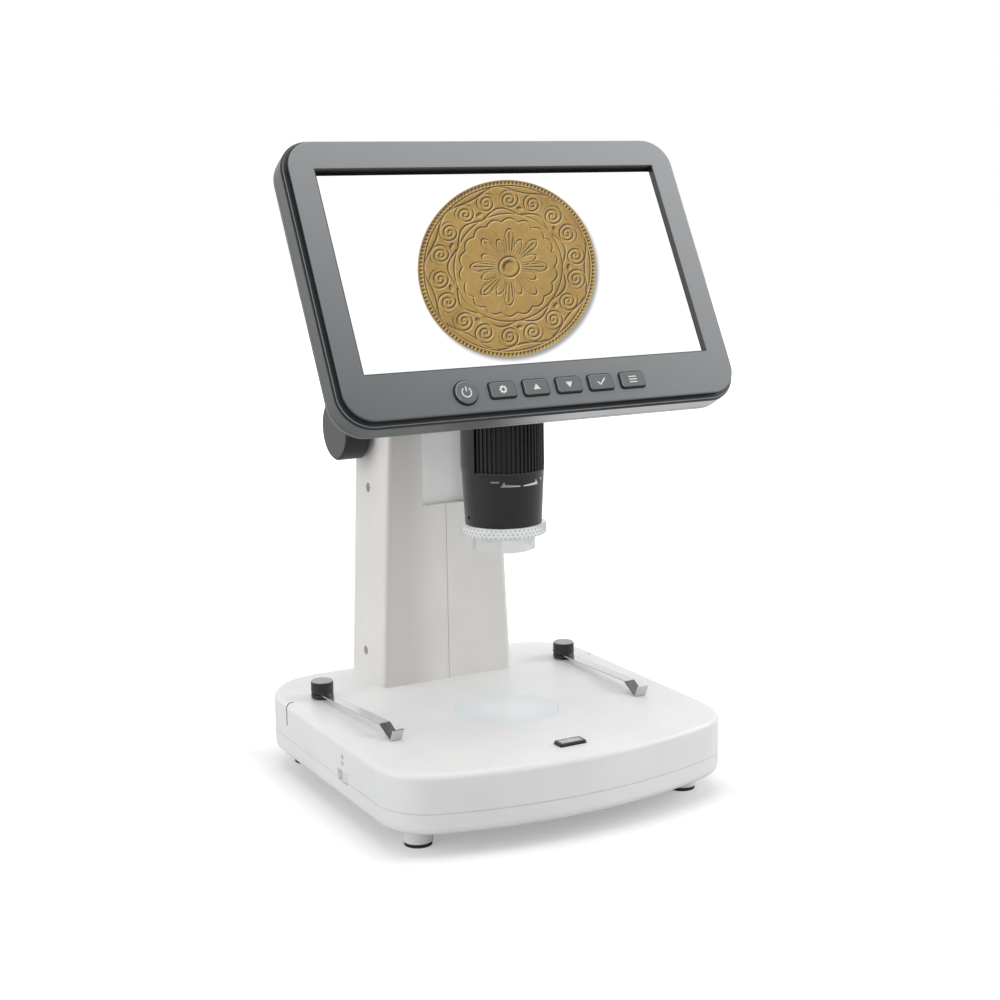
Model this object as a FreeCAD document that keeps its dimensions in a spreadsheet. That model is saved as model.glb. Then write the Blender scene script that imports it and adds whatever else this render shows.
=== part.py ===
import FreeCAD, Part
import math
import os
import re
import Sketcher

# Desk microscope with its own display: a hollow base with a lit stage, a two-shell stand with a
# forward neck, a rack-and-pinion camera head, a tilting display with six keys, two stage clips.
# Millimetres, +Z up, front of the object towards -Y, origin on the desk under the middle.

Vector = FreeCAD.Vector
doc = FreeCAD.newDocument("DisplayMicroscope")
sheet = doc.addObject("Spreadsheet::Sheet", "Sizes")

DIMENSIONS = [
    ("base_half_width", 78.5, "base, half of its width"),
    ("base_front", -82, "front apex of the base"),
    ("base_rear", 82, "rear face of the base"),
    ("base_bow", 16, "bow of the front edge"),
    ("base_top", 34, "stage height over the desk"),
    ("base_split", 18.3, "parting line of the base shells"),
    ("base_bottom", 9, "underside of the base"),
    ("front_corner", 24, "front corner radius of the base"),
    ("rear_corner", 29, "rear corner radius of the base"),
    ("wall", 2.2, "wall of every moulded shell"),
    ("seam", 0.4, "depth and width of a seam between two shells"),
    ("top_round", 2.5, "rounding of the top edge of the base"),
    ("sole_round", 3.5, "rounding of the lower edge of the base"),
    ("foot_x", 62.5, "feet, half of their spacing across"),
    ("boss_x", 44, "screw bosses of the base, half of their spacing across"),
    ("foot_front", -53, "front feet"),
    ("foot_rear", 62, "rear feet"),
    ("foot_radius", 6, "foot post"),
    ("pad_height", 1.6, "rubber pad under a foot"),
    ("axis_y", -12, "optical axis"),
    ("stage_radius", 22.3, "visible disc of the stage"),
    ("stage_flange", 24.8, "flange of the stage disc"),
    ("light_height", 24, "underside of the light board"),
    ("light_post_reach", 18, "posts of the light board, from the optical axis"),
    ("stage_key_y", -65.5, "light key on the base"),
    ("stage_key_width", 12, "light key, across"),
    ("stage_key_depth", 6, "light key, front to back"),
    ("key_gap", 0.25, "gap around a key"),
    ("wheel_y", -16.8, "brightness wheel"),
    ("wheel_height", 19.2, "middle of the brightness wheel"),
    ("wheel_radius", 7.6, "brightness wheel"),
    ("wheel_thickness", 4.4, "brightness wheel"),
    ("wheel_inset", 8, "wheel axis inside the side wall"),
    ("inlet_x", 34, "power inlet"),
    ("cover_y", 44, "seam on the side wall, towards the rear"),
    ("column_front", 42, "front face of the column"),
    ("column_rear", 78, "rear face of the column"),
    ("column_foot_half", 32.8, "half width of the column at the stage"),
    ("column_top_half", 24.65, "half width of the column at its top"),
    ("column_top", 213, "top of the stand"),
    ("column_round", 3, "rounding of the column edges"),
    ("column_wall", 2.5, "wall of the stand shells"),
    ("slot_half", 11.3, "half width of the carriage slot"),
    ("slot_bottom", 114.7, "lower end of the carriage slot"),
    ("neck_half", 20, "half width of the neck"),
    ("pivot_y", -4, "display hinge axis"),
    ("pivot_z", 200, "display hinge axis"),
    ("neck_round", 2, "rounding of the neck edges"),
    ("neck_radius", 13, "round nose of the neck"),
    ("pin_radius", 3, "hinge pin"),
    ("running_gap", 0.05, "radial running clearance"),
    ("screw_y", 62, "side screws of the stand"),
    ("screw_low", 46.9, "lower side screw"),
    ("screw_high", 121.9, "upper side screw"),
    ("screw_recess", 2.15, "radius of a screw recess"),
    ("frame_half", 18, "outer face of the focus frame"),
    ("frame_wall", 3, "cheek of the focus frame"),
    ("rod_x", 10, "guide rods"),
    ("rod_y", 51, "guide rods"),
    ("rod_radius", 2, "guide rods"),
    ("knob_y", 68, "focus shaft"),
    ("knob_z", 148.6, "focus shaft"),
    ("knob_radius", 13.9, "focus knob"),
    ("knob_inner", 30.2, "inner face of a focus knob"),
    ("knob_outer", 41.8, "outer face of a focus knob"),
    ("shaft_radius", 2.5, "focus shaft"),
    ("gear_module", 0.8, "rack and pinion module"),
    ("flank_slope", 0.36397, "slope of the tooth flanks, the tangent of 20 degrees"),
    ("backlash", 0.06, "play of a tooth in its space"),
    ("gear_teeth", 15, "pinion teeth"),
    ("gear_half", 3.5, "half width of the pinion"),
    ("rack_teeth", 20, "rack teeth"),
    ("arm_bottom", 157, "underside of the camera arm"),
    ("arm_top", 180, "top of the camera arm"),
    ("barrel_bottom", 115.6, "lower edge of the camera barrel"),
    ("barrel_foot", 16.1, "barrel radius at its lower edge"),
    ("barrel_waist", 17.2, "barrel radius under the ring window"),
    ("barrel_radius", 17.6, "barrel radius at the ring window"),
    ("window_bottom", 138.3, "ring window"),
    ("window_top", 165, "ring window"),
    ("window_angle", 140, "ring window, degrees about the axis"),
    ("barrel_top", 168, "upper edge of the barrel"),
    ("lid_height", 6, "barrel lid"),
    ("ring_radius", 16.6, "focus ring over its ribs"),
    ("rib_count", 54, "ribs of the focus ring"),
    ("bore_radius", 14, "bore of the barrel"),
    ("cap_radius", 17.8, "grip flange of the clear cap"),
    ("cap_bottom", 104.7, "lower edge of the clear cap"),
    ("cap_step", 111.3, "lower face of the grip flange"),
    ("sleeve_radius", 13.1, "sleeve of the clear cap"),
    ("clip_x", 61.5, "clip posts, half of their spacing"),
    ("clip_y", 44, "clip posts"),
    ("clip_hole", 2, "hole for a clip post"),
    ("clip_radius", 4.9, "clip knob"),
    ("clip_top", 41.9, "top of a clip knob"),
    ("clip_width", 5, "clip spring"),
    ("clip_steel", 0.5, "thickness of the clip spring"),
    ("clip_lean", 2.2, "degrees that a clip leans inwards"),
    ("display_y", -27.07, "middle of the display opening"),
    ("display_z", 223.75, "middle of the display opening"),
    ("tilt_back", 28.55, "display leans back from upright, degrees"),
    ("opening_width", 155, "display opening"),
    ("opening_height", 86.4, "display opening"),
    ("face_half", 88, "half width of the display face"),
    ("face_low", -62, "lower edge of the display face"),
    ("face_high", 55.5, "upper edge of the display face"),
    ("face_corner", 12, "corner radius of the display face"),
    ("rim_step", 2, "how far the display rim stands outside the face"),
    ("bezel_depth", 3, "thickness of the bezel"),
    ("groove_inset", 1, "depth of the groove behind the face"),
    ("rim_depth", 11, "depth of the display split line"),
    ("display_depth", 16.5, "thickness of the display"),
    ("shell_round", 4, "rounding of the display back"),
    ("key_row", -53.7, "row of keys under the opening"),
    ("key_pitch", 14.85, "spacing of the keys"),
    ("key_middle", 7.95, "third key of the row"),
    ("key_width", 11.6, "key, across"),
    ("key_height", 7, "key, up the face"),
    ("key_proud", 1, "how far the keys stand out"),
    ("key_corner", 1.4, "corner radius of a key"),
    ("power_x", -37.6, "power key"),
    ("power_radius", 5, "power key"),
    ("pivot_rise", -9.8, "hinge axis in the plane of the display"),
    ("pivot_depth", 31.6, "hinge axis behind the display face"),
    ("plate_steel", 1.6, "plate of the hinge bracket"),
    ("ear_inner", 22.3, "inner face of a hinge ear"),
    ("ear_outer", 27, "outer face of a hinge ear"),
    ("ear_radius", 9, "hinge ear"),
    ("ear_foot", 13, "half length of the foot of a hinge ear"),
]

for index, (alias, amount, note) in enumerate(DIMENSIONS):
    row = str(index + 1)
    sheet.set("A" + row, note)
    sheet.set("B" + row, str(amount))
    sheet.setAlias("B" + row, alias)
doc.recompute()

ALIASES = {alias for alias, amount, note in DIMENSIONS}
SUB_PARTS = []


def formula(text):
    """Names the sheet in front of each alias of a formula."""
    return re.sub(r"[a-z_]+", lambda word: "Sizes." + word.group() if word.group() in ALIASES
                  else word.group(), str(text))


def size(text):
    """The number that a formula of aliases gives."""
    found = sheet.evalExpression(formula(text))
    return float(getattr(found, "Value", found))


def bind(item, **formulas):
    """Binds properties to formulas; a double underscore stands for the dot of a sub-property."""
    for name, text in formulas.items():
        item.setExpression(name.replace("__", "."), formula(text))


def place(item, x="0", y="0", z="0"):
    item.setExpression("Placement.Base.x", formula(x))
    item.setExpression("Placement.Base.y", formula(y))
    item.setExpression("Placement.Base.z", formula(z))


def sub_part(item, label):
    """Names a finished piece, which gives its file name."""
    item.Label = label
    SUB_PARTS.append(item)
    return item


def box(width, depth, height, x, y, z):
    item = doc.addObject("Part::Box", "Block")
    bind(item, Length=width, Width=depth, Height=height)
    place(item, x, y, z)
    return item


TURN = {
    "Z": FreeCAD.Rotation(),
    "X": FreeCAD.Rotation(Vector(0, 1, 0), 90),
    "Y": FreeCAD.Rotation(Vector(1, 0, 0), -90),
}


def cylinder(radius, length, x, y, z, direction="Z"):
    item = doc.addObject("Part::Cylinder", "Round")
    item.Placement = FreeCAD.Placement(Vector(), TURN[direction])
    bind(item, Radius=radius, Height=length)
    place(item, x, y, z)
    return item


def joined(*items):
    item = doc.addObject("Part::MultiFuse", "Joined")
    item.Shapes = list(items)
    return item


def cut(base, *tools):
    item = doc.addObject("Part::Cut", "Cut")
    item.Base = base
    item.Tool = tools[0] if len(tools) == 1 else joined(*tools)
    return item


def mirrored(source, label):
    """The same piece on the other side of the middle plane."""
    item = doc.addObject("Part::Mirroring", "Mirrored")
    item.Source = source
    item.Normal = Vector(1, 0, 0)
    return sub_part(item, label)


def body_named(label):
    return sub_part(doc.addObject("PartDesign::Body", "Body"), label)


def sketch_on(body, plane, offset="0"):
    """A sketch on an origin plane of its body, moved along the plane's normal by offset."""
    sketch = body.newObject("Sketcher::SketchObject", "Sketch")
    support = [item for item in body.Origin.OriginFeatures if item.Role == plane + "_Plane"][0]
    sketch.AttachmentSupport = [(support, "")]
    sketch.MapMode = "FlatFace"
    sketch.setExpression("AttachmentOffset.Base.z", formula(offset))
    return sketch


def pin_point(sketch, edge, end, x, y):
    """Holds one end of an edge at a place given by two formulas."""
    for kind, text in (("DistanceX", x), ("DistanceY", y)):
        number = sketch.addConstraint(Sketcher.Constraint(kind, -1, 1, edge, end, size(text)))
        sketch.setExpression("Constraints[%d]" % number, formula(text))


def polygon(sketch, corners):
    """A closed outline of straight edges through corners, each a pair of formulas."""
    places = [Vector(size(x), size(y), 0) for x, y in corners]
    for start, end in zip(places, places[1:] + places[:1]):
        sketch.addGeometry(Part.LineSegment(start, end), False)
    for edge, (x, y) in enumerate(corners):
        before = (edge - 1) % len(corners)
        sketch.addConstraint(Sketcher.Constraint("Coincident", before, 2, edge, 1))
        pin_point(sketch, edge, 1, x, y)
    return sketch


def circle(sketch, x, y, radius):
    middle = Vector(size(x), size(y), 0)
    edge = sketch.addGeometry(Part.Circle(middle, Vector(0, 0, 1), size(radius)), False)
    number = sketch.addConstraint(Sketcher.Constraint("Radius", edge, size(radius)))
    sketch.setExpression("Constraints[%d]" % number, formula(radius))
    pin_point(sketch, edge, 3, x, y)
    return sketch


def rounded_box(sketch, left, right, low, high, radius):
    """A rectangle with four round corners; its sides and its radius are formulas."""
    x0, x1, y0, y1, r = size(left), size(right), size(low), size(high), size(radius)
    first = sketch.GeometryCount
    middles = [(x1 - r, y0 + r, -90), (x1 - r, y1 - r, 0), (x0 + r, y1 - r, 90), (x0 + r, y0 + r, 180)]
    ends = [((x0 + r, y0), (x1 - r, y0)), ((x1, y0 + r), (x1, y1 - r)),
            ((x1 - r, y1), (x0 + r, y1)), ((x0, y1 - r), (x0, y0 + r))]
    for (start, end), (x, y, angle) in zip(ends, middles):
        sketch.addGeometry(Part.LineSegment(Vector(*start, 0), Vector(*end, 0)), False)
        round_edge = Part.Circle(Vector(x, y, 0), Vector(0, 0, 1), r)
        arc = Part.ArcOfCircle(round_edge, math.radians(angle), math.radians(angle + 90))
        sketch.addGeometry(arc, False)
    for step in range(8):
        here, after = first + step, first + (step + 1) % 8
        sketch.addConstraint(Sketcher.Constraint("Tangent", here, 2, after, 1))
    for step in (3, 5, 7):
        sketch.addConstraint(Sketcher.Constraint("Equal", first + 1, first + step))
    sketch.addConstraint(Sketcher.Constraint("Horizontal", first))
    sketch.addConstraint(Sketcher.Constraint("Vertical", first + 2))
    number = sketch.addConstraint(Sketcher.Constraint("Radius", first + 1, r))
    sketch.setExpression("Constraints[%d]" % number, formula(radius))
    sides = [("DistanceY", first, 1, low), ("DistanceX", first + 2, 1, right),
             ("DistanceY", first + 4, 1, high), ("DistanceX", first + 6, 1, left)]
    for kind, edge, end, text in sides:
        number = sketch.addConstraint(Sketcher.Constraint(kind, -1, 1, edge, end, size(text)))
        sketch.setExpression("Constraints[%d]" % number, formula(text))
    return sketch


def pad(body, sketch, length, reverse=False):
    item = body.newObject("PartDesign::Pad", "Pad")
    item.Profile = sketch
    item.Reversed = reverse
    bind(item, Length=length)
    return item


def pocket(body, sketch, length, reverse=False):
    """Cuts a sketch away and makes sure that the solid got smaller."""
    doc.recompute()
    before = body.Shape.Volume
    item = body.newObject("PartDesign::Pocket", "Pocket")
    item.Profile = sketch
    item.Reversed = reverse
    bind(item, Length=length)
    doc.recompute()
    if not body.Shape.Volume < before:
        raise RuntimeError("a pocket of " + body.Label + " cuts nothing")
    return item


def revolve(body, sketch):
    item = body.newObject("PartDesign::Revolution", "Revolution")
    item.Profile = sketch
    item.ReferenceAxis = (sketch, ["V_Axis"])
    item.Angle = 360
    return item


def polar(body, feature, axis_sketch, count):
    item = body.newObject("PartDesign::PolarPattern", "Pattern")
    item.Originals = [feature]
    item.Axis = (axis_sketch, ["N_Axis"])
    item.Angle = 360
    bind(item, Occurrences=count)
    body.Tip = item
    return item


def round_edges(body, radius, chosen, kind="Fillet"):
    """Rounds or bevels the edges of the tip whose middle passes the test chosen."""
    doc.recompute()
    base = body.Tip
    names = []
    for number, edge in enumerate(base.Shape.Edges):
        middle = edge.valueAt((edge.FirstParameter + edge.LastParameter) / 2)
        if chosen(middle, edge):
            names.append("Edge%d" % (number + 1))
    item = body.newObject("PartDesign::" + kind, kind)
    item.Base = (base, names)
    if kind == "Fillet":
        bind(item, Radius=radius)
    else:
        bind(item, Size=radius)
    doc.recompute()
    return item


def is_upright(edge):
    box_of_edge = edge.BoundBox
    return box_of_edge.XLength < 0.01 and box_of_edge.YLength < 0.01


# Base


def base_outline(sketch, inset):
    """Plan of the base, moved inwards by inset: straight sides and rear, bowed front."""
    half = "(base_half_width-%s)" % inset
    rear = "(base_rear-%s)" % inset
    bow = "(base_bow*%s*%s/base_half_width/base_half_width)" % (half, half)
    front = "(base_front+%s)" % inset
    side = "(%s+%s)" % (front, bow)
    corners = [("-" + half, side), ("-" + half, rear), (half, rear), (half, side)]
    places = [Vector(size(x), size(y), 0) for x, y in corners]
    for start, end in zip(places, places[1:]):
        sketch.addGeometry(Part.LineSegment(start, end), False)
    sketch.addGeometry(Part.Arc(places[0], Vector(0, size(front), 0), places[3]), False)
    for one, one_end, other, other_end in ((0, 2, 1, 1), (1, 2, 2, 1), (2, 2, 3, 2), (3, 1, 0, 1)):
        sketch.addConstraint(Sketcher.Constraint("Coincident", one, one_end, other, other_end))
    for edge in range(3):
        pin_point(sketch, edge, 1, *corners[edge])
    pin_point(sketch, 2, 2, *corners[3])
    radius = "(%s*%s+%s*%s)/2/%s" % (half, half, bow, bow, bow)
    number = sketch.addConstraint(Sketcher.Constraint("Radius", 3, size(radius)))
    sketch.setExpression("Constraints[%d]" % number, formula(radius))
    return sketch


def round_base_corners(body, inset):
    """Rounds the four upright edges of the base or of its hollow."""
    half = size("base_half_width") - inset
    round_edges(body, "rear_corner-%s" % inset,
                lambda middle, edge: is_upright(edge) and abs(abs(middle.x) - half) < 0.1 and middle.y > 0)
    round_edges(body, "front_corner-%s" % inset,
                lambda middle, edge: is_upright(edge) and abs(abs(middle.x) - half) < 0.1 and middle.y < 0)


def hollow(low, high):
    """The inside of the base between two heights, as a body for cutting."""
    body = doc.addObject("PartDesign::Body", "Hollow")
    pad(body, base_outline(sketch_on(body, "XY", low), "wall"), "%s-(%s)" % (high, low))
    round_base_corners(body, size("wall"))
    return body


def wheel_window():
    """Cutter of the opening in the side wall where the brightness wheel looks out."""
    return box("wall+2", "2*wheel_radius-5", "wheel_thickness+0.8",
               "-base_half_width-1", "wheel_y-wheel_radius+2.5", "wheel_height-wheel_thickness/2-0.4")


def cover_groove(side):
    """Cutter of the thin seam that climbs the side wall and turns over its top edge."""
    body = doc.addObject("PartDesign::Body", "CoverGroove")
    wall = "(base_half_width-seam)"
    profile = [(wall + "+2", "base_top-10"), (wall, "base_top-10"), (wall, "base_top-2.1"),
               (wall + "-1.7", "base_top-seam"), (wall + "-3.1", "base_top-seam"),
               (wall + "-3.1", "base_top+1"), (wall + "+2", "base_top+1")]
    corners = [("%s(%s)" % (side, across), height) for across, height in profile]
    section = polygon(sketch_on(body, "XZ", "-cover_y"), corners)
    return pad(body, section, "seam")


def base_upper_shell():
    body = doc.addObject("PartDesign::Body", "UpperBlank")
    pad(body, base_outline(sketch_on(body, "XY", "base_split"), "0"), "base_top-base_split")
    round_base_corners(body, 0)
    top = size("base_top")
    round_edges(body, "top_round", lambda middle, edge: abs(middle.z - top) < 0.01)
    deep = "wall+2"
    floor = "base_top-wall-1"
    openings = [
        hollow("base_split-1", "base_top-wall"),
        cylinder("stage_radius+0.1", deep, "0", "axis_y", floor),
        box("stage_key_width+2*key_gap", "stage_key_depth+2*key_gap", deep,
            "-stage_key_width/2-key_gap", "stage_key_y-stage_key_depth/2-key_gap", floor),
        wheel_window(),
        cylinder("3.2", "wall+2", "inlet_x", "base_rear-wall-1", "25", "Y"),
    ]
    for side in ("", "-"):
        openings.append(cylinder("clip_hole", deep, side + "clip_x", "clip_y", floor))
        openings.append(cylinder("1.7", deep, side + "24", "54", floor))
        openings.append(cylinder("1.7", deep, side + "24", "66", floor))
        openings.append(cover_groove(side))
    sub_part(cut(body, *openings), "base_upper_shell")


def light_posts():
    """Three posts round the optical axis that carry the light board."""
    for turn in (30, 150, 270):
        across, forward = math.cos(math.radians(turn)), math.sin(math.radians(turn))
        yield cylinder("2.5", "light_height-base_bottom-1", "light_post_reach*%g" % across,
                       "axis_y+light_post_reach*%g" % forward, "base_bottom+1")


def base_lower_shell():
    body = doc.addObject("PartDesign::Body", "LowerBlank")
    pad(body, base_outline(sketch_on(body, "XY", "base_bottom"), "0"), "base_split-seam-base_bottom")
    round_base_corners(body, 0)
    lip = doc.addObject("PartDesign::Body", "Lip")
    pad(lip, base_outline(sketch_on(lip, "XY", "base_split-seam"), "seam"), "seam")
    round_base_corners(lip, size("seam"))
    low = size("base_bottom")
    round_edges(body, "sole_round", lambda middle, edge: abs(middle.z - low) < 0.01)
    dish = doc.addObject("PartDesign::Body", "Dish")
    floor = "base_bottom+wall"
    pad(dish, base_outline(sketch_on(dish, "XY", floor), "wall"), "base_split-base_bottom")
    round_base_corners(dish, size("wall"))
    inner = size(floor)
    round_edges(dish, "sole_round/2", lambda middle, edge: abs(middle.z - inner) < 0.01, "Chamfer")
    solids = [cut(joined(body, lip), dish)]
    drilled = [wheel_window()]
    for side in ("", "-"):
        for y in ("foot_front", "foot_rear"):
            solids.append(cylinder("foot_radius", "base_bottom-pad_height+1", side + "foot_x", y,
                                   "pad_height"))
            solids.append(cylinder("4", "base_top-wall-base_bottom-1", side + "boss_x", y, "base_bottom+1"))
            drilled.append(cylinder("3", "6", side + "boss_x", y, "base_bottom-1"))
            drilled.append(cylinder("1.6", "30", side + "boss_x", y, "base_bottom-1"))
    solids.extend(light_posts())
    solids.append(cylinder("3", "light_height+1-base_bottom-1", "0", "stage_key_y+2", "base_bottom+1"))
    solids.append(box("12", "8", "wheel_height-wheel_thickness/2-6.6-base_bottom",
                      "wheel_inset-6-base_half_width", "wheel_y-4", "base_bottom+1"))
    sub_part(cut(joined(*solids), *drilled), "base_lower_shell")


def foot_pads():
    for name, side in (("right", ""), ("left", "-")):
        for end in ("front", "rear"):
            post = cylinder("foot_radius-0.4", "pad_height", side + "foot_x", "foot_" + end, "0")
            sub_part(post, "foot_pad_%s_%s" % (end, name))


def turned(body, corners):
    """A turned piece about the upright axis of its body, from the corners of its half section."""
    return revolve(body, polygon(sketch_on(body, "XZ"), corners))


def stage_diffuser():
    body = body_named("stage_diffuser")
    shelf = "base_top-wall"
    turned(body, [("0", shelf + "-1.6"), ("stage_flange", shelf + "-1.6"), ("stage_flange", shelf),
                  ("stage_radius", shelf), ("stage_radius", "base_top"), ("0", "base_top")])
    place(body, y="axis_y")


def stage_light_board():
    body = body_named("stage_light_board")
    pad(body, circle(sketch_on(body, "XY", "light_height"), "0", "0", "21"), "1.6")
    seat = sketch_on(body, "XY", "light_height+1.6")
    polygon(seat, [("12", "-1.4"), ("14.8", "-1.4"), ("14.8", "1.4"), ("12", "1.4")])
    polar(body, pad(body, seat, "0.9"), seat, 8)
    place(body, y="axis_y")


def stage_key():
    width, depth = "stage_key_width/2", "stage_key_depth/2"
    body = body_named("stage_key")
    flange = sketch_on(body, "XY", "base_top-wall-1.4")
    rounded_box(flange, "-%s-1" % width, width + "+1", "-%s-1" % depth, depth + "+1", "1")
    pad(body, flange, "1")
    cap = sketch_on(body, "XY", "base_top-wall-1")
    rounded_box(cap, "-" + width, width, "-" + depth, depth, "0.8")
    pad(body, cap, "wall+2.2")
    top = size("base_top+1.2")
    round_edges(body, "0.4", lambda middle, edge: abs(middle.z - top) < 0.01)
    place(body, y="stage_key_y")
    board = box("22", "13", "1.6", "-11", "stage_key_y-5", "light_height+1")
    switch = box("6", "6", "2.8", "-3", "stage_key_y-3", "light_height+2.6")
    button = cylinder("1.6", "0.3", "0", "stage_key_y", "light_height+5.4")
    sub_part(joined(board, switch, button), "stage_key_board")


def brightness_control():
    body = body_named("brightness_wheel")
    bottom = "wheel_height-wheel_thickness/2"
    rim = circle(sketch_on(body, "XY", bottom), "0", "0", "wheel_radius")
    pad(body, circle(rim, "0", "0", "1.5"), "wheel_thickness")
    notch = sketch_on(body, "XY", bottom)
    polygon(notch, [("wheel_radius-0.25", "-0.2"), ("wheel_radius+1", "-0.2"),
                    ("wheel_radius+1", "0.2"), ("wheel_radius-0.25", "0.2")])
    polar(body, pocket(body, notch, "wheel_thickness", True), notch, 36)
    place(body, "wheel_inset-base_half_width", "wheel_y")
    case = box("8", "9", "5.2", "wheel_inset-3.5-base_half_width", "wheel_y-4.5", bottom + "-5.6")
    spindle = cylinder("1.45", "wheel_thickness+0.4", "wheel_inset-base_half_width", "wheel_y",
                       bottom + "-0.4")
    sub_part(joined(case, spindle), "brightness_control")


def power_inlet():
    case = box("11", "12", "11", "inlet_x-5.5", "base_rear-wall-12", "19.5")
    nose = cylinder("3.1", "wall-0.3", "inlet_x", "base_rear-wall", "25", "Y")
    bore = cylinder("2.7", "9", "inlet_x", "base_rear-9.2", "25", "Y")
    contact = cylinder("1", "8.2", "inlet_x", "base_rear-9.2", "25", "Y")
    sub_part(joined(cut(joined(case, nose), bore), contact), "power_inlet")


def base_screws():
    solids = []
    for side in ("", "-"):
        for y in ("foot_front", "foot_rear"):
            head = cylinder("2.8", "1.6", side + "boss_x", y, "base_bottom+3.4")
            solids.append(joined(head, cylinder("1.6", "14", side + "boss_x", y, "base_bottom+5")))
    sub_part(compound(solids), "base_screws")


def compound(solids):
    item = doc.addObject("Part::Compound", "Group")
    item.Links = solids
    return item


# Stand


def side_slope():
    """How far the side of the column draws in for each millimetre of height."""
    return "((column_foot_half-column_top_half)/(column_top-base_top))"


def half_width_at(height):
    return "(column_foot_half-%s*((%s)-base_top))" % (side_slope(), height)


def neck_side(sketch):
    """Side view of the neck: a straight bar whose nose is round about the hinge axis."""
    low, high = "pivot_z-neck_radius", "pivot_z+neck_radius"
    corners = [("pivot_y", low), ("column_front+1", low), ("column_front+1", high), ("pivot_y", high)]
    places = [Vector(size(y), size(z), 0) for y, z in corners]
    for start, end in zip(places, places[1:]):
        sketch.addGeometry(Part.LineSegment(start, end), False)
    nose = Vector(size("pivot_y-neck_radius"), size("pivot_z"), 0)
    sketch.addGeometry(Part.Arc(places[3], nose, places[0]), False)
    for one, one_end, other, other_end in ((0, 2, 1, 1), (1, 2, 2, 1), (2, 2, 3, 1), (3, 2, 0, 1)):
        sketch.addConstraint(Sketcher.Constraint("Coincident", one, one_end, other, other_end))
    for edge in range(3):
        pin_point(sketch, edge, 1, *corners[edge])
    pin_point(sketch, 2, 2, *corners[3])
    number = sketch.addConstraint(Sketcher.Constraint("DistanceX", -1, 1, 3, 3, size("pivot_y")))
    sketch.setExpression("Constraints[%d]" % number, formula("pivot_y"))
    return sketch


def stand_right_shell():
    body = doc.addObject("PartDesign::Body", "ColumnBlank")
    front = sketch_on(body, "XZ", "-column_front")
    polygon(front, [("0", "base_top"), ("column_foot_half", "base_top"),
                    ("column_top_half", "column_top"), ("0", "column_top")])
    pad(body, front, "column_rear-column_front", True)
    top, rear = size("column_top"), size("column_rear")
    round_edges(body, "column_round", lambda middle, edge: middle.x > 15 and edge.BoundBox.ZLength > 20
                or abs(middle.z - top) < 0.01 and (middle.x > 20 or abs(middle.y - rear) < 0.01))
    cavity = doc.addObject("PartDesign::Body", "ColumnHollow")
    inner = sketch_on(cavity, "XZ", "-column_front-column_wall")
    polygon(inner, [("-1", "base_top-1"), ("column_foot_half-column_wall", "base_top-1"),
                    ("column_top_half-column_wall", "column_top-column_wall"),
                    ("-1", "column_top-column_wall")])
    pad(cavity, inner, "column_rear-column_front-2*column_wall", True)
    neck = doc.addObject("PartDesign::Body", "Neck")
    pad(neck, neck_side(sketch_on(neck, "YZ")), "neck_half")
    outer = size("neck_half")
    round_edges(neck, "neck_round", lambda middle, edge: abs(middle.x - outer) < 0.01
                and middle.y < size("column_front+0.5"))
    tunnel = box("neck_half-column_wall+1", "column_front-pivot_y-4", "2*neck_radius-2*column_wall",
                 "-1", "pivot_y+8", "pivot_z-neck_radius+column_wall")
    slot = box("slot_half+1", "column_wall+4", "pivot_z-neck_radius-slot_bottom",
               "-1", "column_front-2", "slot_bottom")
    pin_hole = cylinder("pin_radius+running_gap", "neck_half+2", "-1", "pivot_y", "pivot_z", "X")
    hub_hole = cylinder("5.3", "20", "20", "knob_y", "knob_z", "X")
    front_seam = box("seam/2", "1+seam", "200", "0", "column_front-1", "base_top-1")
    rear_seam = box("seam/2", "1+seam", "200", "0", "column_rear-seam", "base_top-1")
    top_seam = box("seam/2", "100", "1+seam", "0", "pivot_y", "column_top-seam")
    solids = [cut(body, cavity), neck]
    drilled = [tunnel, slot, pin_hole, hub_hole, front_seam, rear_seam, top_seam]
    for height in ("screw_low", "screw_high"):
        length = half_width_at(height) + "-frame_half-1"
        solids.append(cylinder("4", length, "frame_half", "screw_y", height, "X"))
        drilled.append(cylinder("screw_recess", "20", "frame_half+4", "screw_y", height, "X"))
        drilled.append(cylinder("1.3", "20", "frame_half-1", "screw_y", height, "X"))
    shell = sub_part(cut(joined(*solids), *drilled), "stand_right_shell")
    mirrored(shell, "stand_left_shell")


def stand_screws():
    solids = []
    for side, turn in (("", 1), ("-", -1)):
        for height in ("screw_low", "screw_high"):
            head_x = "frame_half+4" if turn > 0 else "-frame_half-5.6"
            shank_x = "frame_half-frame_wall" if turn > 0 else "-frame_half-4"
            head = cylinder("screw_recess-0.05", "1.6", head_x, "screw_y", height, "X")
            shank = cylinder("1.25", "frame_wall+4", shank_x, "screw_y", height, "X")
            solids.append(joined(head, shank))
    sub_part(compound(solids), "stand_screws")


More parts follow.
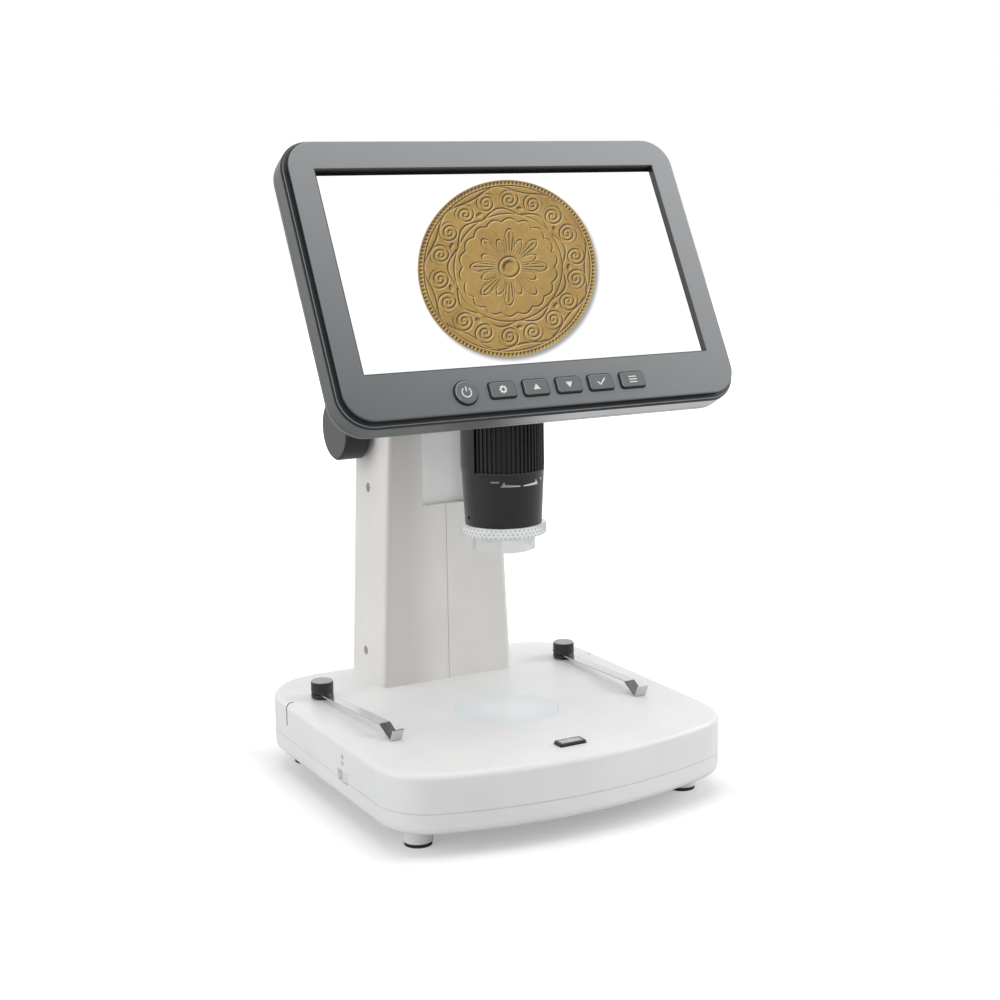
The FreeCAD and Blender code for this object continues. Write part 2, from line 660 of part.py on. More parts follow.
def focus_frame():
    """Inner frame that holds the shaft and the rods: two cheeks with a sole and a head plate."""
    depth_front, depth_rear = "column_front+column_wall+0.3", "column_rear-column_wall-0.3"
    depth = "(%s-(%s))" % (depth_rear, depth_front)
    solids = [box("2*frame_half", depth, "frame_wall", "-frame_half", depth_front, "base_top"),
              box("2*frame_half", depth, "frame_wall", "-frame_half", depth_front, "205")]
    for x in ("-frame_half", "frame_half-frame_wall"):
        solids.append(box("frame_wall", depth, "205-base_top+frame_wall", x, depth_front, "base_top"))
    for x in ("-27", "frame_half-1"):
        solids.append(box("28-frame_half", "20", "frame_wall", x, "50", "base_top"))
    holes = [cylinder("4", "60", "-30", "knob_y", "knob_z", "X")]
    for side in ("", "-"):
        holes.append(cylinder("rod_radius", "190", side + "rod_x", "rod_y", "base_top+1"))
        holes.append(cylinder("1.6", "6", side + "24", "54", "base_top-1"))
        holes.append(cylinder("1.6", "6", side + "24", "66", "base_top-1"))
    for height in ("screw_low", "screw_high"):
        holes.append(cylinder("1.25", "60", "-30", "screw_y", height, "X"))
    sub_part(cut(joined(*solids), *holes), "focus_frame")


def guide_rods():
    rod = cylinder("rod_radius", "207-base_top-1", "rod_x", "rod_y", "base_top+1")
    sub_part(rod, "guide_rod_right")
    mirrored(rod, "guide_rod_left")


def shaft_bushes():
    bushes = []
    inner_face = "frame_half-frame_wall"
    for low, flange in ((inner_face, inner_face + "-1"), ("-frame_half", "frame_wall-frame_half")):
        tube = joined(cylinder("4", "frame_wall", low, "knob_y", "knob_z", "X"),
                      cylinder("5", "1", flange, "knob_y", "knob_z", "X"))
        bushes.append(cut(tube, cylinder("shaft_radius+running_gap", "60", "-30", "knob_y", "knob_z", "X")))
    sub_part(compound(bushes), "shaft_bushes")


def column_screws():
    solids = []
    for side in ("", "-"):
        for y in ("54", "66"):
            shank = cylinder("1.55", "8", side + "24", y, "base_top-wall-2")
            solids.append(joined(shank, cylinder("2.8", "1.6", side + "24", y, "base_top-wall-2")))
    sub_part(compound(solids), "column_screws")


# Focus drive


def involute_point(base_radius, radius):
    """Polar angle of the involute of base_radius where it reaches radius."""
    roll = math.sqrt(max(radius * radius / base_radius / base_radius - 1, 0))
    return roll - math.atan(roll)


def pinion_outline():
    """Fifteen involute teeth about the X axis, one of them pointing at the rack, to -Y."""
    teeth = int(size("gear_teeth"))
    pitch = size("gear_module*gear_teeth/2")
    tip, root = pitch + size("gear_module"), pitch - size("1.25*gear_module")
    base = pitch * math.cos(math.atan(size("flank_slope")))
    half_tooth = math.pi / 2 / teeth - size("backlash") / pitch + involute_point(base, pitch)
    radii = [base + (tip - base) * step / 3 for step in range(4)]
    edges = []

    def at(radius, angle):
        return Vector(0, -radius * math.cos(angle), radius * math.sin(angle))

    for tooth in range(teeth):
        middle = 2 * math.pi * tooth / teeth
        rise = [at(r, middle - half_tooth + involute_point(base, r)) for r in radii]
        fall = [at(r, middle + half_tooth - involute_point(base, r)) for r in reversed(radii)]
        foot_in, foot_out = at(root, middle - half_tooth), at(root, middle + half_tooth)
        after = at(root, middle + 2 * math.pi / teeth - half_tooth)
        valley = at(root, middle + math.pi / teeth)
        edges.append(Part.makeLine(foot_in, rise[0]))
        for line in (rise, fall):
            for start, end in zip(line, line[1:]):
                edges.append(Part.makeLine(start, end))
            if line is rise:
                edges.append(Part.makeLine(rise[-1], fall[0]))
        edges.append(Part.makeLine(fall[-1], foot_out))
        edges.append(Part.Arc(foot_out, valley, after).toShape())
    return Part.Face(Part.Wire(edges))


def focus_shaft():
    """Shaft with the pinion cut on it; the teeth are worked out from the module and tooth count."""
    half = size("gear_half")
    gear = pinion_outline().extrude(Vector(2 * half, 0, 0))
    gear.translate(Vector(-half, 0, 0))
    reach = size("knob_outer-4")
    shaft = Part.makeCylinder(size("shaft_radius"), 2 * reach, Vector(-reach, 0, 0), Vector(1, 0, 0))
    item = doc.addObject("Part::Feature", "Shaft")
    item.Shape = gear.fuse(shaft).removeSplitter()
    place(item, "0", "knob_y", "knob_z")
    sub_part(item, "focus_shaft")


def focus_knobs():
    body = doc.addObject("PartDesign::Body", "Knob")
    turned(body, [("shaft_radius", "28"), ("5", "28"), ("5", "knob_inner"), ("knob_radius-0.6", "knob_inner"),
                  ("knob_radius", "knob_inner+0.6"), ("knob_radius", "knob_outer-0.8"),
                  ("knob_radius-0.8", "knob_outer"), ("0", "knob_outer"),
                  ("0", "knob_outer-4"), ("shaft_radius", "knob_outer-4")])
    body.Placement = FreeCAD.Placement(Vector(), TURN["X"])
    place(body, "0", "knob_y", "knob_z")
    sub_part(body, "focus_knob_right")
    mirrored(body, "focus_knob_left")


def focus_rack():
    """Straight rack whose spaces face the pinion; one space is level with the shaft."""
    pitch = "(3.14159265*gear_module)"
    line = "(knob_y-gear_module*gear_teeth/2)"
    lowest = "knob_z-%s*2.5" % pitch
    length = "rack_teeth*" + pitch
    bar = body_named("focus_rack")
    blank = sketch_on(bar, "YZ", "-3")
    back, root = "57", line + "-1.25*gear_module"
    foot = lowest + "-%s/2" % pitch
    head = foot + "+" + length
    polygon(blank, [(back, foot), (root, foot), (root, head), (back, head)])
    pad(bar, blank, "6")
    tooth = sketch_on(bar, "YZ", "-3")
    wide = "(%s/4+flank_slope*1.25*gear_module-backlash)" % pitch
    narrow = "(%s/4-flank_slope*0.8*gear_module-backlash)" % pitch
    tip = line + "+0.8*gear_module"
    polygon(tooth, [(root + "-0.1", lowest + "-" + wide), (root, lowest + "-" + wide),
                    (tip, lowest + "-" + narrow), (tip, lowest + "+" + narrow),
                    (root, lowest + "+" + wide), (root + "-0.1", lowest + "+" + wide)])
    row = bar.newObject("PartDesign::LinearPattern", "Teeth")
    row.Originals = [pad(bar, tooth, "6")]
    row.Direction = (tooth, ["V_Axis"])
    bind(row, Length="(rack_teeth-1)*" + pitch, Occurrences="rack_teeth")
    bar.Tip = row


def carriage():
    """Block that slides on the rods, with the apron that closes the slot below the arm."""
    block = box("26", "11", "31", "-13", "46", "arm_bottom-5")
    apron = box("26", "2", "arm_top-slot_bottom+12", "-13", "column_front+column_wall+0.5", "slot_bottom-6")
    bores = [cylinder("rod_radius+running_gap", "60", side + "rod_x", "rod_y", "arm_bottom-20")
             for side in ("", "-")]
    sub_part(cut(joined(block, apron), *bores), "carriage_block")


def camera_arm():
    """Arm from the carriage through the slot to the back of the barrel."""
    reach = "column_front+column_wall+0.5-axis_y-10"
    beam = box("16", reach, "arm_top-arm_bottom", "-8", "axis_y+10", "arm_bottom")
    rim = cylinder("barrel_radius", "60", "0", "axis_y", "arm_bottom-20")
    sub_part(cut(beam, rim), "camera_arm")


# Camera head


def camera_barrel():
    body = doc.addObject("PartDesign::Body", "Barrel")
    shelf = "window_bottom"
    turned(body, [("bore_radius", "barrel_bottom"), ("barrel_foot", "barrel_bottom"),
                  ("barrel_waist", shelf + "-1.3"), ("barrel_radius", shelf + "+1.2"),
                  ("barrel_radius", "barrel_top"), ("bore_radius", "barrel_top"),
                  ("bore_radius", "window_top"), ("ring_radius+0.2", "window_top"),
                  ("ring_radius+0.2", shelf), ("bore_radius", shelf)])
    place(body, y="axis_y")
    wedge = doc.addObject("Part::Cylinder", "Sector")
    bind(wedge, Radius="30", Height="window_top-window_bottom", Angle="window_angle")
    centred = FreeCAD.Rotation(Vector(0, 0, 1), -90 - size("window_angle") / 2)
    wedge.Placement = FreeCAD.Placement(Vector(), centred)
    place(wedge, "0", "axis_y", "window_bottom")
    hole = cylinder("0.8", "6", "-20", "axis_y", "barrel_bottom+3.4", "X")
    sub_part(cut(body, wedge, hole), "camera_barrel")


def barrel_lid():
    body = body_named("barrel_lid")
    top = "barrel_top+lid_height"
    turned(body, [("0", "barrel_top"), ("barrel_radius", "barrel_top"), ("barrel_radius", top + "-4"),
                  ("barrel_radius-1.2", top + "-1.2"), ("barrel_radius-4", top), ("0", top)])
    place(body, y="axis_y")


def focus_ring():
    body = body_named("focus_ring")
    low, high = "window_bottom+0.3", "window_top-0.3"
    ring = circle(sketch_on(body, "XY", low), "0", "0", "ring_radius")
    pad(body, circle(ring, "0", "0", "bore_radius+0.6"), "%s-(%s)" % (high, low))
    groove = sketch_on(body, "XY", low)
    polygon(groove, [("ring_radius-0.8", "-0.45"), ("ring_radius+1", "-0.8"),
                     ("ring_radius+1", "0.8"), ("ring_radius-0.8", "0.45")])
    polar(body, pocket(body, groove, "60", True), groove, "rib_count")
    place(body, y="axis_y")


def lens_group():
    carrier = body_named("lens_carrier")
    turned(carrier, [("8", "127"), ("bore_radius-0.4", "127"), ("bore_radius-0.4", "160"), ("11.5", "160"),
                     ("11.5", "134"), ("8", "132")])
    place(carrier, y="axis_y")
    glass = body_named("objective_lens")
    turned(glass, [("0", "128.4"), ("8", "129"), ("8", "131"), ("0", "131.6")])
    place(glass, y="axis_y")


def camera_boards():
    ring = body_named("led_ring_board")
    board = circle(sketch_on(ring, "XY", "120.4"), "0", "0", "bore_radius")
    pad(ring, circle(board, "0", "0", "8.5"), "1.2")
    seat = sketch_on(ring, "XY", "119.5")
    polygon(seat, [("9.6", "-1.3"), ("12.2", "-1.3"), ("12.2", "1.3"), ("9.6", "1.3")])
    polar(ring, pad(ring, seat, "0.9"), seat, 8)
    place(ring, y="axis_y")
    board = cylinder("bore_radius", "1.4", "0", "axis_y", "barrel_top-1.4")
    chip = box("9", "9", "0.9", "-4.5", "axis_y-4.5", "barrel_top-2.3")
    sub_part(joined(board, chip), "sensor_board")


def clear_cap():
    body = body_named("clear_cap")
    plug = "bore_radius-running_gap"
    turned(body, [("sleeve_radius-1.2", "cap_bottom"), ("sleeve_radius", "cap_bottom"),
                  ("sleeve_radius", "cap_step"), ("cap_radius-0.3", "cap_step"),
                  ("cap_radius", "cap_step+0.3"), ("cap_radius", "barrel_bottom-0.35"),
                  ("cap_radius-0.3", "barrel_bottom-0.05"), (plug, "barrel_bottom-0.05"),
                  (plug, "barrel_bottom+3.2"), (plug + "-1", "barrel_bottom+3.2"),
                  (plug + "-1", "cap_step+1"), ("sleeve_radius-1.2", "cap_step+1")])
    place(body, y="axis_y")


# Stage clips


def clip_spring_section(sketch):
    """Side view of the clip spring: flat foot, gentle rise, drop to the stage, curled tip."""
    low = [(-7, 36.1), (8, 36.1), (60.5, 38.4), (69.5, 34.15), (70.7, 34.15), (73, 39)]
    steel = size("clip_steel")
    normals = []
    for (y0, z0), (y1, z1) in zip(low, low[1:]):
        length = math.hypot(y1 - y0, z1 - z0)
        normals.append((-(z1 - z0) / length, (y1 - y0) / length))
    high = []
    for step, (y, z) in enumerate(low):
        before = normals[max(step - 1, 0)]
        after = normals[min(step, len(normals) - 1)]
        across = (before[0] + after[0], before[1] + after[1])
        scale = 2 / (across[0] ** 2 + across[1] ** 2)
        high.append((y + across[0] * scale * steel, z + across[1] * scale * steel))
    outline = low + high[::-1]
    return polygon(sketch, [("-(%g)" % y, "%g" % z) for y, z in outline])


def stage_clips():
    strip = doc.addObject("PartDesign::Body", "ClipSpring")
    pad(strip, clip_spring_section(sketch_on(strip, "YZ", "-clip_width/2")), "clip_width")
    hole = cylinder("clip_hole-0.1", "10", "0", "0", "base_top")
    spring = cut(strip, hole)
    spring.Placement = FreeCAD.Placement(Vector(), FreeCAD.Rotation(Vector(0, 0, 1), -size("clip_lean")))
    place(spring, "clip_x", "clip_y")
    sub_part(spring, "clip_spring_right")
    knob = body_named("clip_knob_right")
    turned(knob, [("1.5", "36.6"), ("clip_radius", "36.6"), ("clip_radius", "clip_top-0.4"),
                  ("clip_radius-0.4", "clip_top"), ("0", "clip_top"), ("0", "40.2"), ("1.5", "40.2")])
    place(knob, "clip_x", "clip_y")
    post = body_named("clip_post_right")
    shoulder = "clip_hole-running_gap"
    turned(post, [("0", "28.4"), ("4", "28.4"), ("4", "base_top-wall-0.4"),
                  (shoulder, "base_top-wall-0.4"), (shoulder, "base_top+0.3"), ("3.2", "base_top+0.3"),
                  ("3.2", "36.1"), (shoulder + "-0.1", "36.1"), (shoulder + "-0.1", "36.6"),
                  ("1.5", "36.6"), ("1.5", "40.2"), ("0", "40.2")])
    place(post, "clip_x", "clip_y")
    for piece, name in ((spring, "clip_spring_left"), (knob, "clip_knob_left"), (post, "clip_post_left")):
        mirrored(piece, name)


# Display, drawn flat: x across, y up the face, z out of the face, origin in the opening


def stand_up(item):
    """Leans a flat-drawn piece back into its place on the hinge."""
    item.Placement = FreeCAD.Placement(Vector(), FreeCAD.Rotation(Vector(1, 0, 0), 90 - size("tilt_back")))
    item.setExpression("Placement.Rotation.Angle", formula("90-tilt_back"))
    place(item, "0", "display_y", "display_z")
    return item


def outline_out(sketch, grow):
    """Display outline moved outwards by grow from the edge of the face."""
    return rounded_box(sketch, "-face_half-(%s)" % grow, "face_half+(%s)" % grow, "face_low-(%s)" % grow,
                       "face_high+(%s)" % grow, "face_corner+(%s)" % grow)


def slab(low, high, grow):
    """A flat slab with the display outline between two depths."""
    body = doc.addObject("PartDesign::Body", "Slab")
    pad(body, outline_out(sketch_on(body, "XY", low), grow), "%s-(%s)" % (high, low))
    return body


def key_places():
    """Name and middle of each rectangular key, from left to right."""
    names = ("settings", "up", "down", "confirm", "menu")
    return [(name, "key_middle+%d*key_pitch" % (step - 2)) for step, name in enumerate(names)]


def key_cutter(x, width, height, radius, low, high):
    body = doc.addObject("PartDesign::Body", "KeyShape")
    sketch = sketch_on(body, "XY", low)
    left, right = "%s-%s" % (x, width), "%s+%s" % (x, width)
    rounded_box(sketch, left, right, "key_row-" + height, "key_row+" + height, radius)
    pad(body, sketch, "%s-(%s)" % (high, low))
    return body


def display_bezel():
    face = doc.addObject("PartDesign::Body", "Face")
    pad(face, outline_out(sketch_on(face, "XY", "-1"), "0"), "1")
    round_edges(face, "0.5", lambda middle, edge: abs(middle.z) < 0.01, "Chamfer")
    backing = slab("-bezel_depth", "-1", "-groove_inset")
    window = box("opening_width", "opening_height", "10", "-opening_width/2", "-opening_height/2", "-5")
    holes = [window, cylinder("power_radius+key_gap", "10", "power_x", "key_row", "-5")]
    for name, x in key_places():
        holes.append(key_cutter(x, "(key_width/2+key_gap)", "(key_height/2+key_gap)", "key_corner+key_gap",
                                "-5", "2"))
    sub_part(stand_up(cut(joined(face, backing), *holes)), "display_bezel")


def display_frame():
    ridge = slab("-bezel_depth-0.8", "-bezel_depth", "rim_step-0.7")
    line = slab("-bezel_depth-1.1", "-bezel_depth-0.8", "rim_step-1.1")
    band = slab("-rim_depth", "-bezel_depth-1.1", "rim_step")
    inside = slab("-rim_depth-1", "-bezel_depth+1", "rim_step-wall-1")
    sub_part(stand_up(cut(joined(ridge, line, band), inside)), "display_frame")


def display_back_shell():
    line = slab("-rim_depth-0.3", "-rim_depth", "rim_step-0.4")
    shell = doc.addObject("PartDesign::Body", "BackShell")
    pad(shell, outline_out(sketch_on(shell, "XY", "-display_depth"), "rim_step-0.1"),
        "display_depth-rim_depth-0.3")
    back = size("-display_depth")
    round_edges(shell, "shell_round", lambda middle, edge: abs(middle.z - back) < 0.01)
    inside = slab("-display_depth+wall", "0", "rim_step-wall-2.3")
    vents = [box("1.6", "14", "10", "%d" % x, "24", "-display_depth-2") for x in range(-40, 41, 5)]
    sub_part(stand_up(cut(joined(line, shell), inside, *vents)), "display_back_shell")


def display_boards():
    glass = box("164", "94", "3.6", "-82", "-46.6", "-bezel_depth-3.6")
    sub_part(stand_up(compound([glass])), "lcd_panel")
    board = box("120", "62", "1.6", "-60", "-30", "-11")
    chips = [box("16", "16", "1.6", "-8", "-8", "-9.5"), box("12", "10", "1.4", "24", "4", "-9.5"),
             box("10", "12", "1.4", "-40", "-12", "-9.5")]
    sub_part(stand_up(joined(board, *chips)), "main_board")
    strip = box("100", "9", "1.2", "-48", "key_row-4.5", "-7.8")
    switches = [box("5", "5", "1.4", "%s-2.5" % x, "key_row-2.5", "-6.7")
                for x in ["power_x"] + [x for name, x in key_places()]]
    sub_part(stand_up(joined(strip, *switches)), "key_board")


def display_keys():
    power = doc.addObject("PartDesign::Body", "PowerKey")
    pad(power, circle(sketch_on(power, "XY", "-4.2"), "power_x", "key_row", "power_radius+0.8"), "0.8")
    pad(power, circle(sketch_on(power, "XY", "-3.4"), "power_x", "key_row", "power_radius"), "key_proud+3.4")
    top = size("key_proud")
    round_edges(power, "0.5", lambda middle, edge: abs(middle.z - top) < 0.01, "Chamfer")
    sub_part(stand_up(power), "key_power")
    for name, x in key_places():
        flange = key_cutter(x, "(key_width/2+0.6)", "(key_height/2+0.6)", "key_corner", "-4.2", "-3.4")
        cap = key_cutter(x, "(key_width/2)", "(key_height/2)", "key_corner", "-3.4", "key_proud")
        round_edges(cap, "0.6", lambda middle, edge: abs(middle.z - top) < 0.01, "Chamfer")
        sub_part(stand_up(joined(flange, cap)), "key_" + name)


def ear_web(web, low):
    """Web of a hinge ear: a foot on the plate and two sides that touch the round eye."""
    radius, foot = size("ear_radius"), size("ear_foot")
    drop = size("pivot_depth-display_depth")
    lean = math.acos(radius / math.hypot(foot, drop)) + math.atan2(drop, foot)
    half, height = abs(radius * math.cos(lean)), radius * math.sin(lean)
    side = sketch_on(web, "YZ", low)
    polygon(side, [("pivot_rise-ear_foot", "-display_depth-1"),
                   ("pivot_rise-%g" % half, "-pivot_depth+%g" % height),
                   ("pivot_rise+%g" % half, "-pivot_depth+%g" % height),
                   ("pivot_rise+ear_foot", "-display_depth-1")])
    return pad(web, side, "ear_outer-ear_inner")


def hinge_bracket():
    """Plate on the display back with two ears, drawn as webs tangent to round eyes."""
    plate = box("2*ear_outer+4", "30", "plate_steel", "-ear_outer-2", "pivot_rise-15",
                "-display_depth-plate_steel")
    ears = []
    for low in ("-ear_outer", "ear_inner"):
        web = doc.addObject("PartDesign::Body", "EarWeb")
        ear_web(web, low)
        ears.append(web)
        ears.append(cylinder("ear_radius", "ear_outer-ear_inner", low, "pivot_rise", "-pivot_depth", "X"))
    hole = cylinder("pin_radius", "80", "-40", "pivot_rise", "-pivot_depth", "X")
    sub_part(stand_up(cut(joined(plate, *ears), hole)), "hinge_bracket")
    pin = cylinder("pin_radius", "2*ear_outer", "-ear_outer", "pivot_rise", "-pivot_depth", "X")
    sub_part(stand_up(compound([pin])), "hinge_pin")
    caps = [cylinder("6", "2.5", low, "pivot_rise", "-pivot_depth", "X")
            for low in ("ear_outer", "-ear_outer-2.5")]
    sub_part(stand_up(compound(caps)), "hinge_nuts")
    discs = []
    for low in ("neck_half+0.2", "-ear_inner"):
        disc = cylinder("8", "ear_inner-neck_half-0.2", low, "pivot_rise", "-pivot_depth", "X")
        discs.append(cut(disc, cylinder("pin_radius", "60", "-30", "pivot_rise", "-pivot_depth", "X")))
    sub_part(stand_up(compound(discs)), "friction_discs")
    screws = []
    for x in ("-16", "16"):
        for rise in ("-11", "+11"):
            screws.append(cylinder("2.6", "1.2", x, "pivot_rise" + rise, "-display_depth-plate_steel-1.2"))
    sub_part(stand_up(compound(screws)), "bracket_screws")


base_upper_shell()
base_lower_shell()
foot_pads()
stage_diffuser()
stage_light_board()
stage_key()
brightness_control()
power_inlet()
base_screws()
stand_right_shell()
stand_screws()
focus_frame()
guide_rods()
shaft_bushes()
column_screws()
focus_shaft()
focus_knobs()
focus_rack()
carriage()
camera_arm()
camera_barrel()
barrel_lid()
focus_ring()
lens_group()
camera_boards()
clear_cap()
stage_clips()
display_bezel()
display_frame()
display_back_shell()
display_boards()
display_keys()
hinge_bracket()
doc.recompute()

for item in doc.Objects:
    if "Invalid" in item.State or "Error" in item.State:
        raise RuntimeError("not built: " + item.Name + " " + item.Label)

os.makedirs("parts", exist_ok=True)
for item in SUB_PARTS:
    if item.Shape.isNull() or not item.Shape.isValid():
        raise RuntimeError("bad shape: " + item.Label)
    item.Shape.exportStep("parts/" + item.Label + ".step")
    print(item.Label, len(item.Shape.Solids), round(item.Shape.Volume))
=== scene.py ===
import bpy
import mathutils
import math
import numpy as np
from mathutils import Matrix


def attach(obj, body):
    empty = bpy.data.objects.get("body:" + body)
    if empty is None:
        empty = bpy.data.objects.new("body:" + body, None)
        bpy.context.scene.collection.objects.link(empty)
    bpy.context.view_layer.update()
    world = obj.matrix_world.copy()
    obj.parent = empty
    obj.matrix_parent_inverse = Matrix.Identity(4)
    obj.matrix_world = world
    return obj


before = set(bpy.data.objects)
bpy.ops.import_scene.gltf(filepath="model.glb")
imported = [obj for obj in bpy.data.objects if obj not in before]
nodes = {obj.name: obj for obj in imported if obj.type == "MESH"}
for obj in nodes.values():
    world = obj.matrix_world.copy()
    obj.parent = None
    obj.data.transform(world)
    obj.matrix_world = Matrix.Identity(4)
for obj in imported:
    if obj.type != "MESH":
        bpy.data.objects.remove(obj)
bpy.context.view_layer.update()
scene = bpy.context.scene
mm = 0.001


# Camera: the photograph's view, worked out from the display opening and the stage disc

view = {"azimuth": -28.295, "elevation": 10.537, "roll": -0.875,   # degrees
        "target": (-1.51, -12, 124.99), "distance": 716.2,   # mm
        "lens": 61.65, "sensor": 36}   # mm on the film


def makeCamera():
    # axes of the camera: back = (sin a cos e, -cos a cos e, sin e), side = (cos a, sin a, 0) and
    # top = back x side, the last two turned about back by the roll
    a, e, r = (math.radians(view[key]) for key in ("azimuth", "elevation", "roll"))
    back = np.array([math.sin(a) * math.cos(e), -math.cos(a) * math.cos(e), math.sin(e)])
    side = np.array([math.cos(a), math.sin(a), 0])
    top = np.cross(back, side)
    right = math.cos(r) * side + math.sin(r) * top
    up = math.cos(r) * top - math.sin(r) * side
    place = (np.array(view["target"]) + back * view["distance"]) * mm
    data = bpy.data.cameras.new("camera")
    data.lens, data.sensor_width, data.sensor_height = view["lens"], view["sensor"], view["sensor"]
    data.clip_start, data.clip_end = 0.01, 20
    camera = bpy.data.objects.new("camera", data)
    scene.collection.objects.link(camera)
    columns = np.column_stack([right, up, back])
    rows = np.vstack([np.column_stack([columns, place]), [0, 0, 0, 1]]).tolist()
    camera.matrix_world = mathutils.Matrix(rows)
    scene.camera = camera
    print("camera in place")


makeCamera()


# Shader sockets as numbers: an expression on them adds the Math nodes it needs

def fillRamp(ramp, stops):
    while len(ramp.elements) < len(stops):
        ramp.elements.new(0.5)
    for element, (place, colour) in zip(ramp.elements, stops):
        element.position, element.color = place, colour


class Term:
    def __init__(self, tree, socket):
        self.tree, self.socket = tree, socket

    def node(self, kind, settings=None, sockets=None, out=0):
        # a node of this kind: its settings first, then its sockets, each a value or another term
        made = self.tree.nodes.new("ShaderNode" + kind)
        for key, value in (settings or {}).items():
            if key == "stops":
                fillRamp(made.color_ramp, value)
            else:
                setattr(made, key, value)
        for key, value in (sockets or {}).items():
            if isinstance(value, Term):
                self.tree.links.new(value.socket, made.inputs[key])
            else:
                made.inputs[key].default_value = value
        return Term(self.tree, made.outputs[out])

    def math(self, operation, other=0.0, third=0.0):
        return self.node("Math", {"operation": operation}, {0: self, 1: other, 2: third})

    def __add__(self, other): return self.math("ADD", other)
    def __radd__(self, other): return self.math("ADD", other)
    def __mul__(self, other): return self.math("MULTIPLY", other)
    def __rmul__(self, other): return self.math("MULTIPLY", other)
    def __sub__(self, other): return self.math("SUBTRACT", other)
    def __rsub__(self, other): return self.math("MULTIPLY_ADD", -1.0, other)

    def sin(self): return self.math("SINE")
    def cos(self): return self.math("COSINE")
    def root(self): return self.math("SQRT")
    def size(self): return self.math("ABSOLUTE")
    def part(self): return self.math("FRACT")
    def least(self, other): return self.math("MINIMUM", other)
    def most(self, other): return self.math("MAXIMUM", other)
    def turn(self, other): return self.math("ARCTAN2", other)

    def step(self, low, high):   # 0 below low, 1 above high, smooth between
        sockets = {"Value": self, "From Min": low, "From Max": high}
        return self.node("MapRange", {"interpolation_type": "SMOOTHSTEP"}, sockets)

    def band(self, middle, half, soft):   # 1 within half of middle, fading over soft
        return 1 - (self - middle).size().step(half, half + soft)

    def mix(self, low, high):   # colour low where this is 0, high where it is 1
        settings = {"data_type": "RGBA", "clamp_factor": True}
        return self.node("Mix", settings, {0: self, 6: low, 7: high}, 2)

    def ramp(self, stops):   # colours written from 0 to 255 at places from 0 to 1
        filled = [(place, rgb(*colour)) for place, colour in stops]
        return self.node("ValToRGB", {"stops": filled}, {0: self})

    def axes(self):   # x, y and z in mm
        return [self.node("SeparateXYZ", None, {0: self}, i) * 1000.0 for i in range(3)]

    def noise(self, scale, detail=2.0, rough=0.5):
        sockets = {"Vector": self, "Scale": scale, "Detail": detail, "Roughness": rough}
        return self.node("TexNoise", None, sockets)

    def stretched(self, *scale):   # the place with each axis scaled
        return self.node("Mapping", None, {"Vector": self, "Scale": scale})


def distance(*offsets):
    # square root of the sum of the squares
    total = offsets[0] * offsets[0]
    for offset in offsets[1:]:
        total = total + offset * offset
    return total.root()


def rgb(*values):   # display values from 0 to 255, made linear
    linear = ((v / 255 / 12.92) if v < 11 else ((v / 255 + 0.055) / 1.055) ** 2.4 for v in values)
    return tuple(linear) + (1.0,)


def material(name, build, **fixed):
    # build gives what varies over the surface, fixed what is the same all over it
    made = bpy.data.materials.new(name)
    made.use_nodes = True
    tree = made.node_tree
    shader = tree.nodes["Principled BSDF"]
    for key, value in fixed.items():
        shader.inputs[key.replace("_", " ")].default_value = value
    place = tree.nodes.new("ShaderNodeTexCoord")
    start = Term(tree, place.outputs["Object"])
    for key, value in build(start).items():
        tree.links.new(value.socket, shader.inputs[key])
    return made


def bump(height, strength, deep=0.0002):   # depth in m
    return height.node("Bump", None, {"Height": height, "Strength": strength, "Distance": deep})


def surface(colour, rough, height, strength, deep=0.0002):
    return {"Base Color": colour, "Roughness": rough, "Normal": bump(height, strength, deep)}


print("shader terms ready")


# The display's own plane: x across, up along the face, out of the face, in mm

display = {"y": -27.07, "z": 223.75, "leansBack": 28.55,   # mm and degrees
           "width": 155, "height": 86.4, "glass": -3.0,   # opening, and panel behind the face
           "shade": 1.3, "lift": 0.06}   # dark margin above the picture, picture above the panel
slope = math.radians(90 - display["leansBack"])
upWay = np.array([0, math.cos(slope), math.sin(slope)])
outWay = np.array([0, -math.sin(slope), math.cos(slope)])
middle = np.array([0, display["y"], display["z"]])


def displayAxes(start):
    # offset from the middle of the face, taken along the face's own directions
    x, y, z = start.axes()
    y, z = y - display["y"], z - display["z"]
    up = y * float(upWay[1]) + z * float(upWay[2])
    out = y * float(outWay[1]) + z * float(outWay[2])
    return x, up, out


def onDisplay(flat, out):
    # flat points (x, up) at a height out of the face, as points in space
    flat = np.asarray(flat, float)
    return middle + flat[..., :1] * [1, 0, 0] + flat[..., 1:2] * upWay + out * outWay


# Finishes: two near tones, sizes of patches and grain in mm, roughness, strength of the relief

